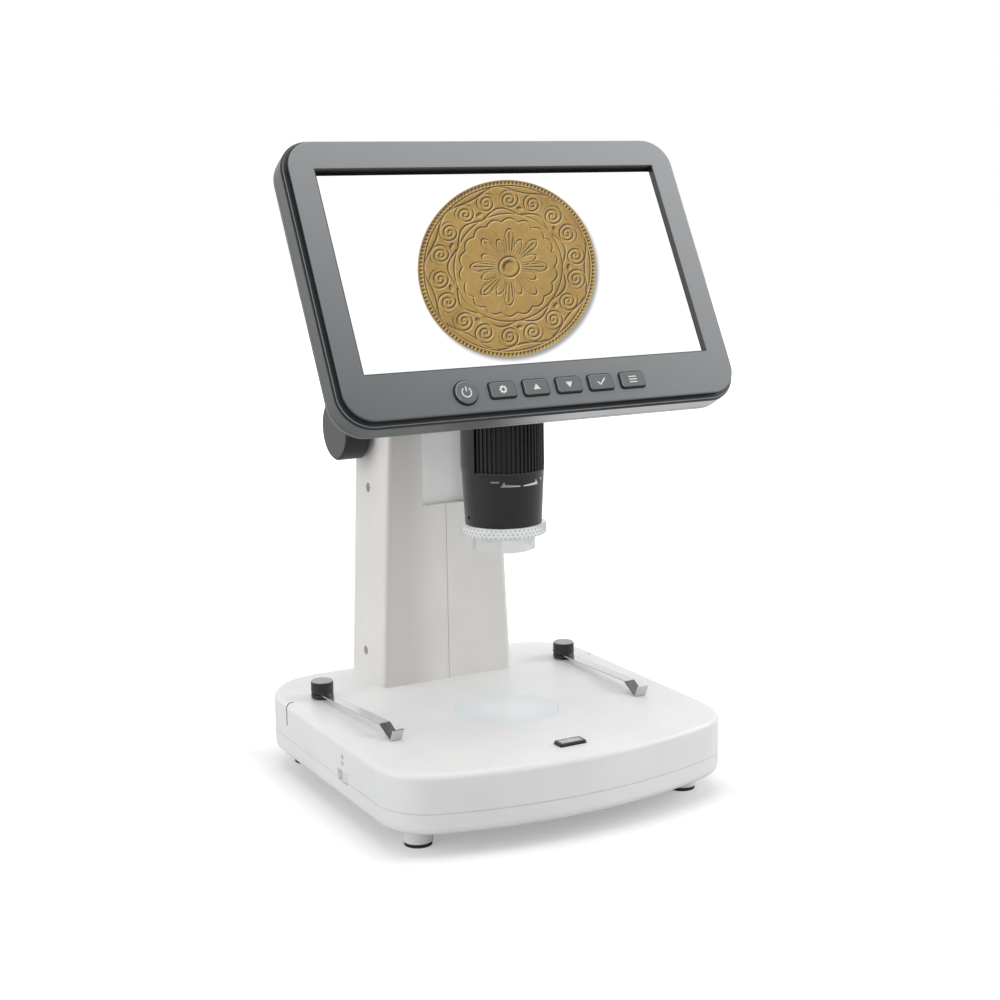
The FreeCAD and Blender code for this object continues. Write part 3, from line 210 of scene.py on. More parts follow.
tones = {
    "base": {"tones": ((238, 239, 240), (244, 244, 243)),
             "patch": 30, "grain": 0.5, "rough": 0.36, "relief": 0.05},
    "column": {"tones": ((233, 231, 227), (238, 236, 232)),
               "patch": 26, "grain": 0.5, "rough": 0.4, "relief": 0.05},
    "apron": {"tones": ((240, 240, 240), (245, 245, 244)),
              "patch": 18, "grain": 0.5, "rough": 0.4, "relief": 0.05},
    "satin": {"tones": ((19, 19, 21), (26, 26, 28)),
              "patch": 9, "grain": 0.35, "rough": 0.42, "relief": 0.1},
    "lid": {"tones": ((27, 28, 29), (34, 35, 36)),
            "patch": 9, "grain": 0.35, "rough": 0.42, "relief": 0.1},
    "rubber": {"tones": ((30, 30, 31), (40, 40, 41)),
               "patch": 6, "grain": 0.3, "rough": 0.72, "relief": 0.25},
    "ring": {"tones": ((20, 20, 21), (27, 27, 28)),
             "patch": 6, "grain": 0.3, "rough": 0.6, "relief": 0.2},
    "frame": {"tones": ((92, 95, 96), (100, 103, 103)),
              "patch": 20, "grain": 0.4, "rough": 0.45, "relief": 0.12},
    "back": {"tones": ((104, 108, 109), (111, 115, 116)),
             "patch": 24, "grain": 0.4, "rough": 0.48, "relief": 0.16},
    "barrel": {"tones": ((16, 13, 18), (21, 17, 23)),
               "patch": 12, "grain": 0.35, "rough": 0.35, "relief": 0.1},
    "key": {"tones": ((98, 102, 103), (105, 109, 110)),
            "patch": 7, "grain": 0.3, "rough": 0.42, "relief": 0.08},
    "steel": {"tones": ((168, 170, 172), (206, 207, 208)),
              "grain": 0.12, "rough": 0.28, "relief": 0.06},
    "spring": {"tones": ((196, 197, 198), (224, 225, 226)),
               "grain": 0.1, "rough": 0.2, "relief": 0.03},
    "alloy": {"tones": ((148, 151, 154), (176, 178, 180)),
              "grain": 0.6, "rough": 0.45, "relief": 0.2},
    "brass": {"tones": ((176, 138, 62), (208, 170, 88)),
              "grain": 0.15, "rough": 0.3, "relief": 0.05},
}


def mottled(start, spec):
    # colour drifts between two near tones over soft patches, roughness with it, and a fine grain
    # lifts the surface
    patches = start.noise(1000 / spec["patch"], 3.0)
    grain = start.noise(1000 / spec["grain"], 2.0, 0.6)
    colour = patches.step(0.3, 0.7).mix(rgb(*spec["tones"][0]), rgb(*spec["tones"][1]))
    rough = patches * 0.08 + (grain * 0.1 + (spec["rough"] - 0.09))
    return colour, rough, grain


def moulded(name, spec, **fixed):
    def build(start):
        return surface(*mottled(start, spec), spec["relief"])
    return material(name, build, **fixed)


def drawn(start, spec, along):
    # metal drawn along one axis: noise stretched along it makes fine lines in colour and roughness
    scale = {"Y": (1, 0.04, 1), "X": (0.04, 1, 1), "Z": (1, 1, 0.04)}[along]
    lines = start.stretched(*scale).noise(1000 / spec["grain"], 3.0, 0.65)
    colour = lines.step(0.3, 0.75).mix(rgb(*spec["tones"][0]), rgb(*spec["tones"][1]))
    return colour, lines * 0.18 + (spec["rough"] - 0.09), lines


def brushed(name, spec, along):
    def build(start):
        return surface(*drawn(start, spec, along), spec["relief"], 0.0001)
    return material(name, build, Metallic=1.0)


coverSeam = {"y": 44.2, "half": 0.3, "outside": 75, "above": 23.9, "tone": (96, 96, 97)}   # mm


def baseFinish():
    # white housing; the short seam that turns over its upper edge near the rear is darker
    def build(start):
        colour, rough, grain = mottled(start, tones["base"])
        x, y, z = start.axes()
        seam = y.band(coverSeam["y"], coverSeam["half"], 0.1) \
            * x.size().step(coverSeam["outside"] - 0.1, coverSeam["outside"] + 0.1) \
            * z.step(coverSeam["above"] - 0.1, coverSeam["above"] + 0.1)
        return surface(seam.mix(colour, rgb(*coverSeam["tone"])), rough, grain, 0.05)
    return material("baseWhite", build)


columnShade = {"front": 42.2, "depth": 1.4, "left": -21, "right": -3,   # mm
               "tone": (219, 215, 211)}


def columnFinish():
    # warm white; the front face is a shade darker towards its left edge
    def build(start):
        colour, rough, grain = mottled(start, tones["column"])
        x, y, z = start.axes()
        onFront = 1 - y.step(columnShade["front"], columnShade["front"] + columnShade["depth"])
        shade = onFront * (1 - x.step(columnShade["left"], columnShade["right"]))
        return surface(shade.mix(colour, rgb(*columnShade["tone"])), rough, grain, 0.05)
    return material("columnWhite", build, Specular_IOR_Level=0.3)


stageKey = {"y": -65.5, "top": 35.15, "across": 4.6, "deep": 1.7, "tone": (186, 187, 189)}   # mm


def stageKeyFinish():
    # black key whose top carries a grey field
    def build(start):
        colour, rough, grain = mottled(start, tones["satin"])
        x, y, z = start.axes()
        field = z.step(stageKey["top"], stageKey["top"] + 0.03) \
            * (1 - x.size().step(stageKey["across"], stageKey["across"] + 0.4)) \
            * y.band(stageKey["y"], stageKey["deep"], 0.4)
        return surface(field.mix(colour, rgb(*stageKey["tone"])), rough, grain, 0.1)
    return material("stageKeyBlack", build)


def boardFinish():
    # solder mask with fine copper runs: two stepped sine waves, shown where a coarse noise is high
    def build(start):
        x, y, z = start.axes()
        runs = (x * 3.3).sin().step(0.55, 0.75) * (start.noise(90, 1.0) - 0.05).step(0.42, 0.5)
        across = ((y + z) * 2.1).sin().step(0.7, 0.85) * (1 - start.noise(70, 1.0)).step(0.5, 0.56)
        copper = runs.most(across)
        colour = copper.mix(rgb(20, 84, 48), rgb(58, 132, 78))
        return surface(colour, 0.32 + copper * 0.1, copper, 0.4, 0.0001)
    return material("boardGreen", build, Coat_Weight=0.3)


knob = {"y": 68, "z": 148.6, "face": 41.7, "radius": 12.5,   # mm
        "rings": 9.0, "tones": ((68, 68, 67), (84, 84, 82))}


def knobFinish():
    # black grip whose flat end, the far part of x, is a lighter turned disc: rings are a sine of
    # the distance from the shaft
    def build(start):
        colour, rough, grain = mottled(start, tones["satin"])
        x, y, z = start.axes()
        radius = distance(y - knob["y"], z - knob["z"])
        rings = (radius * knob["rings"]).sin() * 0.5 + 0.5
        face = x.size().step(knob["face"] - 0.05, knob["face"] + 0.05) \
            * (1 - radius.step(knob["radius"], knob["radius"] + 0.4))
        low, high = (rgb(*tone) for tone in knob["tones"])
        ringed = face.mix(colour, rings.mix(low, high))
        height = grain * 0.4 + face * rings * 0.6
        return surface(ringed, rough - face * 0.08, height, 0.12, 0.0001)
    return material("knobBlack", build)


clipCrown = {"above": 41.4, "tone": (166, 167, 169)}   # mm


def clipKnobFinish():
    # black knob, its top painted lighter as a painted reflection of the white surround above
    def build(start):
        colour, rough, grain = mottled(start, tones["satin"])
        # painted reflection: the knob's top painted a paler grey where it faces the white surround
        reflectedTop = start.axes()[2].step(clipCrown["above"], clipCrown["above"] + 0.4)
        return surface(reflectedTop.mix(colour, rgb(*clipCrown["tone"])), rough, grain, 0.12, 0.0001)
    return material("clipKnobBlack", build)


clipSlope = {"y": -21.5, "half": 4.2, "tone": (112, 114, 117)}   # mm, along the right strip


def springFinish():
    # bright drawn strip; the slope before the right one's tip is painted darker, a painted
    # reflection of a darker part of the room
    def build(start):
        x, y, z = start.axes()
        bright, rough, lines = drawn(start, tones["spring"], "Y")
        # painted reflection: the right strip's slope painted a darker grey
        slope = y.band(clipSlope["y"], clipSlope["half"], 0.3) * x.step(0.0, 10.0)
        colour = slope.mix(bright, rgb(*clipSlope["tone"]))
        return surface(colour, rough, lines, tones["spring"]["relief"], 0.0001)
    return material("springSteel", build, Metallic=1.0)


lensAxis = -12   # mm, y of the line that stage disc, cap, lens and barrel share


def fromLensAxis(start):
    x, y, z = start.axes()
    return distance(x, y - lensAxis)


def frostedFinish():
    # milky disc with painted light, as if lit a little from below: painted paler in the middle,
    # with a very fine frost
    def build(start):
        frost = start.noise(2600, 2.0)
        # painted light: the disc painted paler towards the lens axis
        colour = fromLensAxis(start).step(4, 22).mix(rgb(246, 249, 251), rgb(234, 240, 243))
        colour = (frost * 0.12).mix(colour, rgb(248, 250, 251))
        return surface(colour, 0.32 + frost * 0.12, frost, 0.05, 0.0001)
    return material("frostedDisc", build, Subsurface_Weight=0.2,
                    Subsurface_Radius=(0.002, 0.002, 0.002))


capFlangeGlow = {"z": 113.4, "half": 2.2, "glow": (80, 81, 82)}   # mm


def clearFinish():
    # clear moulded plastic with faint flow lines round the sleeve, and a milky grip flange that
    # glows faintly, a painted glow standing in for the LED ring lighting it from inside
    def build(start):
        flow = start.stretched(1, 1, 5).noise(180, 2.0)
        flangeMilkAndGlow = start.axes()[2].band(capFlangeGlow["z"], capFlangeGlow["half"], 0.3)
        return {"Roughness": 0.03 + (flow * 0.08 + flangeMilkAndGlow * 0.3), "Normal": bump(flow, 0.06),
                # painted glow: the flange emits a faint grey as if lit from inside
                "Emission Color": flangeMilkAndGlow.mix((0, 0, 0, 1), rgb(*capFlangeGlow["glow"]))}
    return material("clearPlastic", build, Base_Color=(0.97, 0.98, 0.985, 1), IOR=1.49,
                    Transmission_Weight=0.82, Emission_Strength=1.0)


def lensFinish():
    # coated glass: a violet tint that fades to the edge
    def build(start):
        tint = fromLensAxis(start).step(1, 8).mix(rgb(226, 214, 246), rgb(236, 240, 250))
        return {"Base Color": tint, "Roughness": 0.02 + start.noise(900, 1.0) * 0.03}
    return material("lensGlass", build, Transmission_Weight=1.0, IOR=1.52)


def gripFinish():
    # frosted grey clear plastic
    def build(start):
        return {"Roughness": 0.42 + start.noise(1500, 2.0) * 0.14}
    return material("clearGrip", build, Base_Color=rgb(196, 199, 201), Transmission_Weight=0.4,
                    IOR=1.49)


def printFinish(name, low, high):
    # ink between two tones, roughness and tone from one fine speckle
    def build(start):
        speckle = start.noise(2500, 2.0)
        return {"Base Color": speckle.mix(rgb(*low), rgb(*high)),
                "Roughness": 0.45 + speckle * 0.15}
    return material(name, build)


def panelFinish():
    # glossy black panel with faint smears
    def build(start):
        smear = start.noise(60, 2.0)
        return {"Base Color": smear.mix(rgb(10, 10, 12), rgb(18, 18, 20)),
                "Roughness": 0.12 + smear * 0.1}
    return material("panelBlack", build)


rim = {"acrossHalf": 76, "middle": -3.25, "upHalf": 46.75, "corner": 12}   # mm, less the corners


def beyondRim(x, up):
    # distance outside the outline of the display's face, in mm, negative inside it
    across, rise = x.size() - rim["acrossHalf"], (up - rim["middle"]).size() - rim["upHalf"]
    return distance(across.most(0.0), rise.most(0.0)) + across.most(rise).least(0.0) - rim["corner"]


bezel = {"opening": (77.5, 43.2), "origin": (-88, -62), "paintedLightRise": (0.002, 0.0055),   # mm, per mm
         "stops": [(0.0, (96, 100, 102)), (0.34, (128, 131, 133)),
                   (0.68, (149, 151, 153)), (1.0, (162, 165, 167))],
         "paintedShadeBlack": (34, 35, 37)}


def bezelFinish():
    # grey face, paler towards its top right as painted light; black in the opening's step and on
    # the outer side as painted shade
    def build(start):
        x, up, out = displayAxes(start)
        patches, grain = start.noise(45, 3.0), start.noise(2500, 2.0, 0.6)
        inside = 1 - (x.size() - bezel["opening"][0]).step(0.1, 0.6)
        inside = inside * (1 - (up.size() - bezel["opening"][1]).step(0.1, 0.6))
        # painted shade: black in the opening's step and on the outer side
        paintedShadeBlack = inside.most(1 - out.step(-0.5, -0.3))
        # painted light: the face grows paler towards its top right
        lift = (x - bezel["origin"][0]) * bezel["paintedLightRise"][0] \
            + ((up - bezel["origin"][1]) * bezel["paintedLightRise"][1] + (patches - 0.5) * 0.06)
        colour = paintedShadeBlack.mix(lift.ramp(bezel["stops"]), rgb(*bezel["paintedShadeBlack"]))
        return surface(colour, 0.42 + grain * 0.06 - paintedShadeBlack * 0.1, grain, 0.1)
    return material("bezelGrey", build)


shell = {"lip": (1.0, -5.0), "ridge": -3.5, "line": -3.9, "seam": -10.9,   # mm beyond the rim, out
         "glare": (-35.0, 15.0), "under": -63.0,   # mm across, up
         "lipTone": (56, 58, 61), "ridgeTone": (150, 153, 155), "lineTone": (66, 68, 70),
         "seamTone": (34, 35, 37), "glareTone": (208, 210, 211)}


def underGlare(x, up):
    # 0 to 1: the paler right part of the display's under side, a painted reflection of the white
    #         floor
    return x.step(*shell["glare"]) * (1 - up.step(shell["under"], shell["under"] + 5))


def frameFinish():
    # from the face outwards: dark lip, thin pale ridge, dark line, grey band, dark seam; the dark
    # lip and dark line are painted shade in the grooves, and the under side pales to its right with
    # a painted reflection of the white floor
    def build(start):
        x, up, out = displayAxes(start)
        colour, rough, grain = mottled(start, tones["frame"])
        beyond, deep = shell["lip"]
        # painted shade: the lip and the line are darkened as shaded grooves
        lip = (1 - beyondRim(x, up).step(beyond, beyond + 0.2)) * out.step(deep, deep + 1)
        ridge = out.step(shell["ridge"], shell["ridge"] + 0.2) * (1 - lip)
        line = out.band(shell["line"], 0.3, 0.15) * (1 - ridge) * (1 - lip)
        seam = 1 - out.step(shell["seam"], shell["seam"] + 0.3)
        for mask, tone in ((underGlare(x, up), "glareTone"), (line, "lineTone"),
                           (ridge, "ridgeTone"), (seam, "seamTone"), (lip, "lipTone")):
            colour = mask.mix(colour, rgb(*shell[tone]))
        return surface(colour, rough, grain, 0.12)
    return material("frameGrey", build)


def backFinish():
    # grey shell with the same painted glare, a reflection of the white floor, on its under side
    def build(start):
        x, up, out = displayAxes(start)
        colour, rough, grain = mottled(start, tones["back"])
        colour = underGlare(x, up).mix(colour, rgb(*shell["glareTone"]))
        return surface(colour, rough, grain, 0.16)
    return material("backGrey", build)


# Meshes from arrays of points

def piece(name, points, faces, finish, body, smooth=True):
    # points in mm in the rest pose; the piece rides its body
    mesh = bpy.data.meshes.new(name)
    mesh.from_pydata((np.asarray(points) * mm).tolist(), [], np.asarray(faces).tolist())
    mesh.polygons.foreach_set("use_smooth", [smooth] * len(mesh.polygons))
    mesh.materials.append(finish)
    mesh.update()
    made = bpy.data.objects.new(name, mesh)
    scene.collection.objects.link(made)
    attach(made, body)
    return made


def gridFaces(rows, columns, first=0, turn=False):
    # quads of a rows x columns grid of points; turn joins the last row to the first
    index = first + np.arange(rows * columns).reshape(rows, columns)
    if turn:
        index = np.vstack([index, index[:1]])
    a, b, c, d = index[:-1, :-1], index[1:, :-1], index[1:, 1:], index[:-1, 1:]
    return np.stack([a, b, c, d], -1).reshape(-1, 4)


def ribbon(path, half):
    # grid of two points for each point of a path: the path moved half to its left and right
    path = np.asarray(path, float)
    along = np.gradient(path, axis=0)
    along /= np.linalg.norm(along, axis=1, keepdims=True)
    left = np.column_stack([-along[:, 1], along[:, 0]])
    half = np.broadcast_to(np.asarray(half, float), (len(path),))[:, None]
    return np.stack([path + left * half, path - left * half], 1)


def arc(radius, start, end, steps=32):
    # (cos t, sin t) times the radius, t between two angles in degrees
    t = np.radians(np.linspace(start, end, steps))
    return np.column_stack([np.cos(t), np.sin(t)]) * radius


def line(*corners):
    # straight runs between corners, six points each, so that a ribbon keeps its width
    corners = np.asarray(corners, float)
    return np.vstack([np.linspace(a, b, 6) for a, b in zip(corners[:-1], corners[1:])])


def ringOf(inner, outer, steps=64):
    # grid between two closed outlines given as radii at each angle
    t = np.linspace(0, 2 * math.pi, steps + 1)
    way = np.column_stack([np.cos(t), np.sin(t)])
    inner, outer = (np.broadcast_to(value, (steps + 1,))[:, None] for value in (inner, outer))
    return np.stack([way * outer, way * inner], 1)


def sun(disc, rays, half, steps):
    # ring between two radii with eight ribbons standing out from it, each from radius to radius
    spokes = [ribbon(line(*(arc(r, turn, turn, 1)[0] for r in rays)), half)
              for turn in range(0, 360, 45)]
    return [ringOf(*disc, steps)] + spokes


def printed(name, grids, wrap, finish, body):
    # several flat grids, each put in its place by wrap, joined in one thin print
    points, faces, count = [], [], 0
    for grid in grids:
        rows, columns = grid.shape[:2]
        points.append(wrap(grid.reshape(-1, 2)))
        faces.append(gridFaces(rows, columns, count))
        count += rows * columns
    return piece(name, np.vstack(points), np.vstack(faces), finish, body, False)


# The lit screen: a white field with a brass medallion on it

medallion = {"middle": (-2.3, -0.3), "across": (40.3, -1.65), "up": (10.8, 39.0),   # mm
             "lean": 0.006, "shadow": (0.03, -0.035),   # parts of its radius
             "tone": 0.56, "ground": 0.4, "cloud": 0.35, "flank": 0.35, "dark": 1.15, "edge": 0.05,
             "stops": [(0.0, (62, 42, 20)), (0.25, (112, 84, 37)), (0.5, (159, 125, 56)),
                       (0.78, (184, 152, 78)), (1.0, (214, 188, 118))],
             "shadowTone": (150, 150, 152), "white": (255, 255, 255)}

# Its ornament, in parts of the radius: a line is (radius, half width, soft edge), a fade (from, to)

ornament = {"rim": (0.968, 0.012, 0.006), "reeds": 140.0,
            "rings": ((0.932, 0.002, 0.007), (0.608, 0.003, 0.007), (0.115, 0.005, 0.008)),
            "sectors": 9.0, "scroll": 0.77, "width": 0.27,
            "coils": 20.0, "coil": (0.08, 0.24), "coilEnd": (0.108, 0.122),
            "bow": (0.125, 0.004, 0.01), "bowWave": (12.0, 0.03), "bowEnd": (0.17, 0.19),
            "buds": 0.68, "bud": (0.012, 0.026), "budWidth": 0.1414,
            "scallops": (0.515, 0.004, 0.008), "scallopDepth": 0.04,
            "petals": 4.0, "petal": 0.43, "smallPetal": 0.33,
            "outline": (0.0, 0.005, 0.009), "outlineFoot": (0.13, 0.16),
            "veins": 48.0, "vein": (0.6, 0.95), "veinFoot": (0.15, 0.2), "veinTip": (-0.05, -0.02),
            "veinHeight": 0.6, "boss": (0.05, 0.085), "bossHeight": 0.9}


def relief(p, q):
    # height at p, q on the unit disc, with r and t its polar coordinates: the highest of a reeded
    # rim, rings, scrolls mirrored in each sector, scallops, and petals r = |cos 4t| with veins
    spec = ornament
    r, t = distance(p, q), q.turn(p)
    reeds = ((t * spec["reeds"]).cos() * 0.5 + 0.5) * r.band(*spec["rim"])
    sector = (t * (spec["sectors"] / 2 / math.pi) + (spec["sectors"] + 0.5)).part()
    fold = (sector - 0.5).size() * 2.0
    u, v = (fold - 0.5) * spec["width"], r - spec["scroll"]
    curl = distance(u, v)
    coil = ((curl * spec["coils"] + v.turn(u) * (0.5 / math.pi) + 3.0).part() - 0.5).size()
    spiral = (1 - coil.step(*spec["coil"])) * (1 - curl.step(*spec["coilEnd"]))
    waves, swing = spec["bowWave"]
    bow = (v - (u * waves).sin() * swing).size().band(*spec["bow"])
    bow = bow * (1 - curl.step(*spec["bowEnd"]))
    buds = 1 - distance(fold * spec["budWidth"], r - spec["buds"]).step(*spec["bud"])
    lobes = (t * spec["sectors"]).sin().size() * spec["scallopDepth"]
    scallop = (r - lobes).band(*spec["scallops"])
    foot = r.step(*spec["outlineFoot"])
    petal = r - (t * spec["petals"]).cos().size() * spec["petal"]
    small = r - (t * spec["petals"]).sin().size() * spec["smallPetal"]
    veins = ((t * spec["veins"]).cos() * 0.5 + 0.5).step(*spec["vein"]) * r.step(*spec["veinFoot"])
    veins = (1 - petal.step(*spec["veinTip"])) * veins * spec["veinHeight"]
    boss = (1 - r.step(*spec["boss"])) * spec["bossHeight"]
    height = reeds
    for part in (*(r.band(*ring) for ring in spec["rings"]), spiral, bow, buds, scallop,
                 petal.band(*spec["outline"]) * foot, veins,
                 small.band(*spec["outline"]) * foot, boss):
        height = height.most(part)
    return height, r


def screenFinish():
    # medallion: two samples of the relief, a little to each side, give its lit and its dark flanks
    def build(start):
        x, up, out = displayAxes(start)
        spec = medallion
        (ax, ay), (bx, by) = spec["across"], spec["up"]
        area = ax * by - ay * bx
        dx, dy = x - spec["middle"][0], up - spec["middle"][1]
        p = dx * (by / area) - dy * (bx / area)
        q = dy * (ax / area) - dx * (ay / area)
        lit, r = relief(p + spec["lean"], q - spec["lean"])
        shaded = relief(p - spec["lean"], q + spec["lean"])[0]
        flank, dark = (shaded - lit).most(0.0), (lit - shaded).most(0.0)
        ground, cloud = start.noise(700, 4.0, 0.7), start.noise(90, 2.0)
        tone = spec["tone"] + (ground - 0.5) * spec["ground"] \
            + ((cloud - 0.5) * spec["cloud"] + flank * spec["flank"]) \
            - (dark * spec["dark"] + r * r * spec["edge"])
        shadow = distance(p - spec["shadow"][0], q - spec["shadow"][1])
        field = shadow.step(0.96, 1.03).mix(rgb(*spec["shadowTone"]), rgb(*spec["white"]))
        return {"Emission Color": r.step(0.996, 1.002).mix(tone.ramp(spec["stops"]), field),
                "Roughness": 0.3 + cloud * 0.06}
    return material("screenLit", build, Base_Color=rgb(8, 8, 9), Emission_Strength=1.0)


def screenPicture():
    # flat grid over the opening, a hair above the panel
    half = np.array([display["width"], display["height"] - display["shade"]]) / 2 - 0.1
    u, v = np.meshgrid(np.linspace(-1, 1, 12), np.linspace(-1, 1, 8), indexing="ij")
    flat = np.stack([u * half[0], v * half[1] - display["shade"] / 2], -1).reshape(-1, 2)
    piece("screen_picture", onDisplay(flat, display["glass"] + display["lift"]), gridFaces(12, 8),
          screenFinish(), "display", False)
    print("screen lit")


# The keys of the display and their prints

keys = {"row": -53.7, "pitch": 14.85, "third": 7.95, "power": -37.6,   # mm on the display
        "top": 1.0, "lift": 0.03,   # height of a key's top and of the print above it
        "round": 5.0, "across": 5.8, "up": 3.5,   # radius, and half sizes of a rectangle
        # the pale line tone is a painted highlight, the wall tone painted shade
        "line": (0.45, 0.16, 0.12), "lineTone": (168, 171, 172), "shadedWallTone": (24, 25, 26)}


def keyFinish(name, edge):
    # grey top with a pale line along its upper left edge, a painted highlight; the walls round it
    # painted nearly black as shade
    def build(start):
        x, up, out = displayAxes(start)
        colour, rough, grain = mottled(start, tones["key"])
        inside, highlightSide = edge(x, up - keys["row"])
        # painted highlight: a pale line along the key's upper left edge
        pale = inside.band(*keys["line"]) * highlightSide.step(-0.6, 0.6)
        topWithHighlight = pale.mix(colour, rgb(*keys["lineTone"]))
        top = out.step(keys["top"] - 0.14, keys["top"] - 0.06)
        # painted shade: the key's walls nearly black
        colour = top.mix(rgb(*keys["shadedWallTone"]), topWithHighlight)
        return surface(colour, rough, grain, tones["key"]["relief"])
    return material(name, build)


def roundEdge(x, up):
    # depth inside the round power key, and a slope that rises towards its upper left, where the
    # painted highlight falls
    x = x - keys["power"]
    return keys["round"] - distance(x, up), (up - x) * 0.3


def squareEdge(x, up):
    # the same for the row of rounded rectangles, each x taken from the middle of its own key
    across = ((x - keys["third"]) * (1 / keys["pitch"]) + 8.5).part() * keys["pitch"] \
        - keys["pitch"] / 2
    return (keys["across"] - across.size()).least(keys["up"] - up.size()), (up * 1.6 - across) * 0.4


def keyPlace(name, number):
    # the round key stands by itself, the others at the pitch either side of the third
    across = keys["power"] if name == "power" else keys["third"] + (number - 3) * keys["pitch"]
    return np.array([across, keys["row"]])


# Signs in mm round the middle of their key

signs = {"powerArc": (1.95, 125, 415), "powerBar": ((0, 0.35), (0, 2.35)), "powerHalf": 0.24,
         "gear": (0.72, 1.55, 0.21), "teeth": 8,   # hole, middle of the teeth, half their height
         "peak": (1.55, 1.05, 1.4),   # half the foot, foot and tip from the middle
         "tick": ((-1.75, 0.1), (-0.55, -1.2)), "tickLong": ((-0.62, -1.2), (1.85, 1.45)),
         "tickHalf": 0.27, "menu": (-1.15, 0, 1.15), "menuLong": 1.8, "menuHalf": 0.22,
         "tones": ((226, 228, 228), (240, 241, 241))}


def peak(way):
    # triangle: the two ends of its foot, each against the tip, pointing up for 1 and down for -1
    half, foot, tip = signs["peak"]
    return np.stack([[(-half, -foot * way), (half, -foot * way)],
                     [(0, tip * way), (0.001, tip * way)]], 1)


def keyPrints():
    # arc with a bar, gear of radius 1.55 + 0.21 clipped cosine, triangles, tick, three bars
    hole, radius, tooth = signs["gear"]
    t = np.linspace(0, 2 * math.pi, 97)
    teeth = radius + tooth * np.clip(np.cos(signs["teeth"] * t) * 2.2, -1, 1)
    reach = signs["menuLong"]
    shapes = {
        "power": [ribbon(arc(*signs["powerArc"], 40), signs["powerHalf"]),
                  ribbon(line(*signs["powerBar"]), signs["powerHalf"])],
        "settings": [ringOf(hole, teeth, 96)],
        "up": [peak(1)],
        "down": [peak(-1)[::-1]],
        "confirm": [ribbon(line(*signs[stroke]), signs["tickHalf"])
                    for stroke in ("tick", "tickLong")],
        "menu": [ribbon(line((-reach, y), (reach, y)), signs["menuHalf"]) for y in signs["menu"]],
    }
    finish = printFinish("printWhite", *signs["tones"])
    for number, (name, grids) in enumerate(shapes.items()):
        spot = keyPlace(name, number)
        wrap = lambda flat: onDisplay(flat + spot, keys["top"] + keys["lift"])
        printed("print_" + name, grids, wrap, finish, "key_" + name)
    print("prints on", len(shapes), "keys")


# Prints and dots round the camera

barrel = {"axis": lensAxis, "foot": (115.6, 16.1), "waist": (137.0, 17.2), "lift": 0.04,   # mm
          "wedge": ((0, 133.17), (5.2, 135.4), (6.2, 134.2), (28.1, 133.6)),   # degrees, mm up
          "wedgeFoot": 133.15, "tips": ((-31.7, 1), (29.0, -1)),   # degrees and the way it grows
          "bars": ((-45.7, -33.6, 135.2, 0.3), (35.0, 39.0, 135.1, 0.25),
                   (36.3, 37.7, 135.1, 0.62)),   # from, to, height, half height
          "fade": (-9, 3), "tones": ((150, 152, 156), (226, 227, 229))}   # mm across


def roundBarrel(flat):
    # flat points (degrees from the front, height) on the barrel's cone: its radius runs in a
    # straight line between two heights
    t = np.radians(flat[:, 0])
    (low, thin), (high, thick) = barrel["foot"], barrel["waist"]
    radius = thin + (thick - thin) * (flat[:, 1] - low) / (high - low) + barrel["lift"]
    return np.column_stack([radius * np.sin(t), barrel["axis"] - radius * np.cos(t), flat[:, 1]])


def markFinish():
    # printed grey, paler on the right of the barrel
    def build(start):
        across = start.axes()[0].step(*barrel["fade"])
        low, high = (rgb(*tone) for tone in barrel["tones"])
        return {"Base Color": across.mix(low, high),
                "Roughness": 0.45 + start.noise(2500, 2.0) * 0.15}
    return material("printGrey", build)


def barrelMarks():
    # minus, two wedges with arrow heads on one level foot, and plus: upper edge against lower
    # edge over the angle
    corners = np.array(barrel["wedge"], float)
    steps = np.unique(np.concatenate([np.linspace(0, corners[-1, 0], 25), corners[:, 0]]))
    edges = [np.interp(steps, *corners.T), np.full(len(steps), barrel["wedgeFoot"])]
    marks = [np.stack([np.column_stack([tip + way * steps, edge]) for edge in edges][::-way], 1)
             for tip, way in barrel["tips"]]
    marks += [np.stack([np.column_stack([np.linspace(a, b, 8), np.full(8, z + k * half)])
                        for k in (-1, 1)], 1) for a, b, z, half in barrel["bars"]]
    printed("barrel_marks", marks, roundBarrel, markFinish(), "camera_head")
    print("marks on the barrel")


capDots = {"rows": (111.95, 113.4, 114.85), "number": 56, "cap": 17.8,   # mm, cap's radius
           "radius": 0.45, "rise": 0.24, "sink": 0.02,   # mm
           "dome": ((1.0, -0.05), (0.75, 0.6), (0.0, 1.0))}   # parts of the radius and the rise


def dotsOnCap():
    # small domes, three rings of eight points each, in staggered rows round the flange
    count, cap = capDots["number"], capDots["cap"]
    t = np.linspace(0, 2 * math.pi, 9)[:-1]
    dome = np.vstack([np.column_stack([np.cos(t) * r * capDots["radius"],
                                       np.sin(t) * r * capDots["radius"],
                                       np.full(8, h * capDots["rise"])])
                      for r, h in capDots["dome"]])
    dot = np.arange(count * len(capDots["rows"]))
    row = dot // count
    turn = (dot % count) * 2 * math.pi / count + row * math.pi / count
    height = np.array(capDots["rows"])[row]
    radius = cap - capDots["sink"] + dome[None, :, 2]
    angle = turn[:, None] + dome[None, :, 0] / cap
    points = np.stack([radius * np.sin(angle), lensAxis - radius * np.cos(angle),
                       height[:, None] + dome[None, :, 1]], -1)
    ring = np.arange(8)
    after = (ring + 1) % 8
    one = np.vstack([np.column_stack([ring, after, after + 8, ring + 8]) + k for k in (0, 8)])
    faces = (one[None] + (dot * 24)[:, None, None]).reshape(-1, 4)
    piece("cap_dots", points.reshape(-1, 3), faces, gripFinish(), "clear_cap")
    print("dots on the cap:", len(dot))


# Light sign on the stage key, brightness sign on the base's left wall

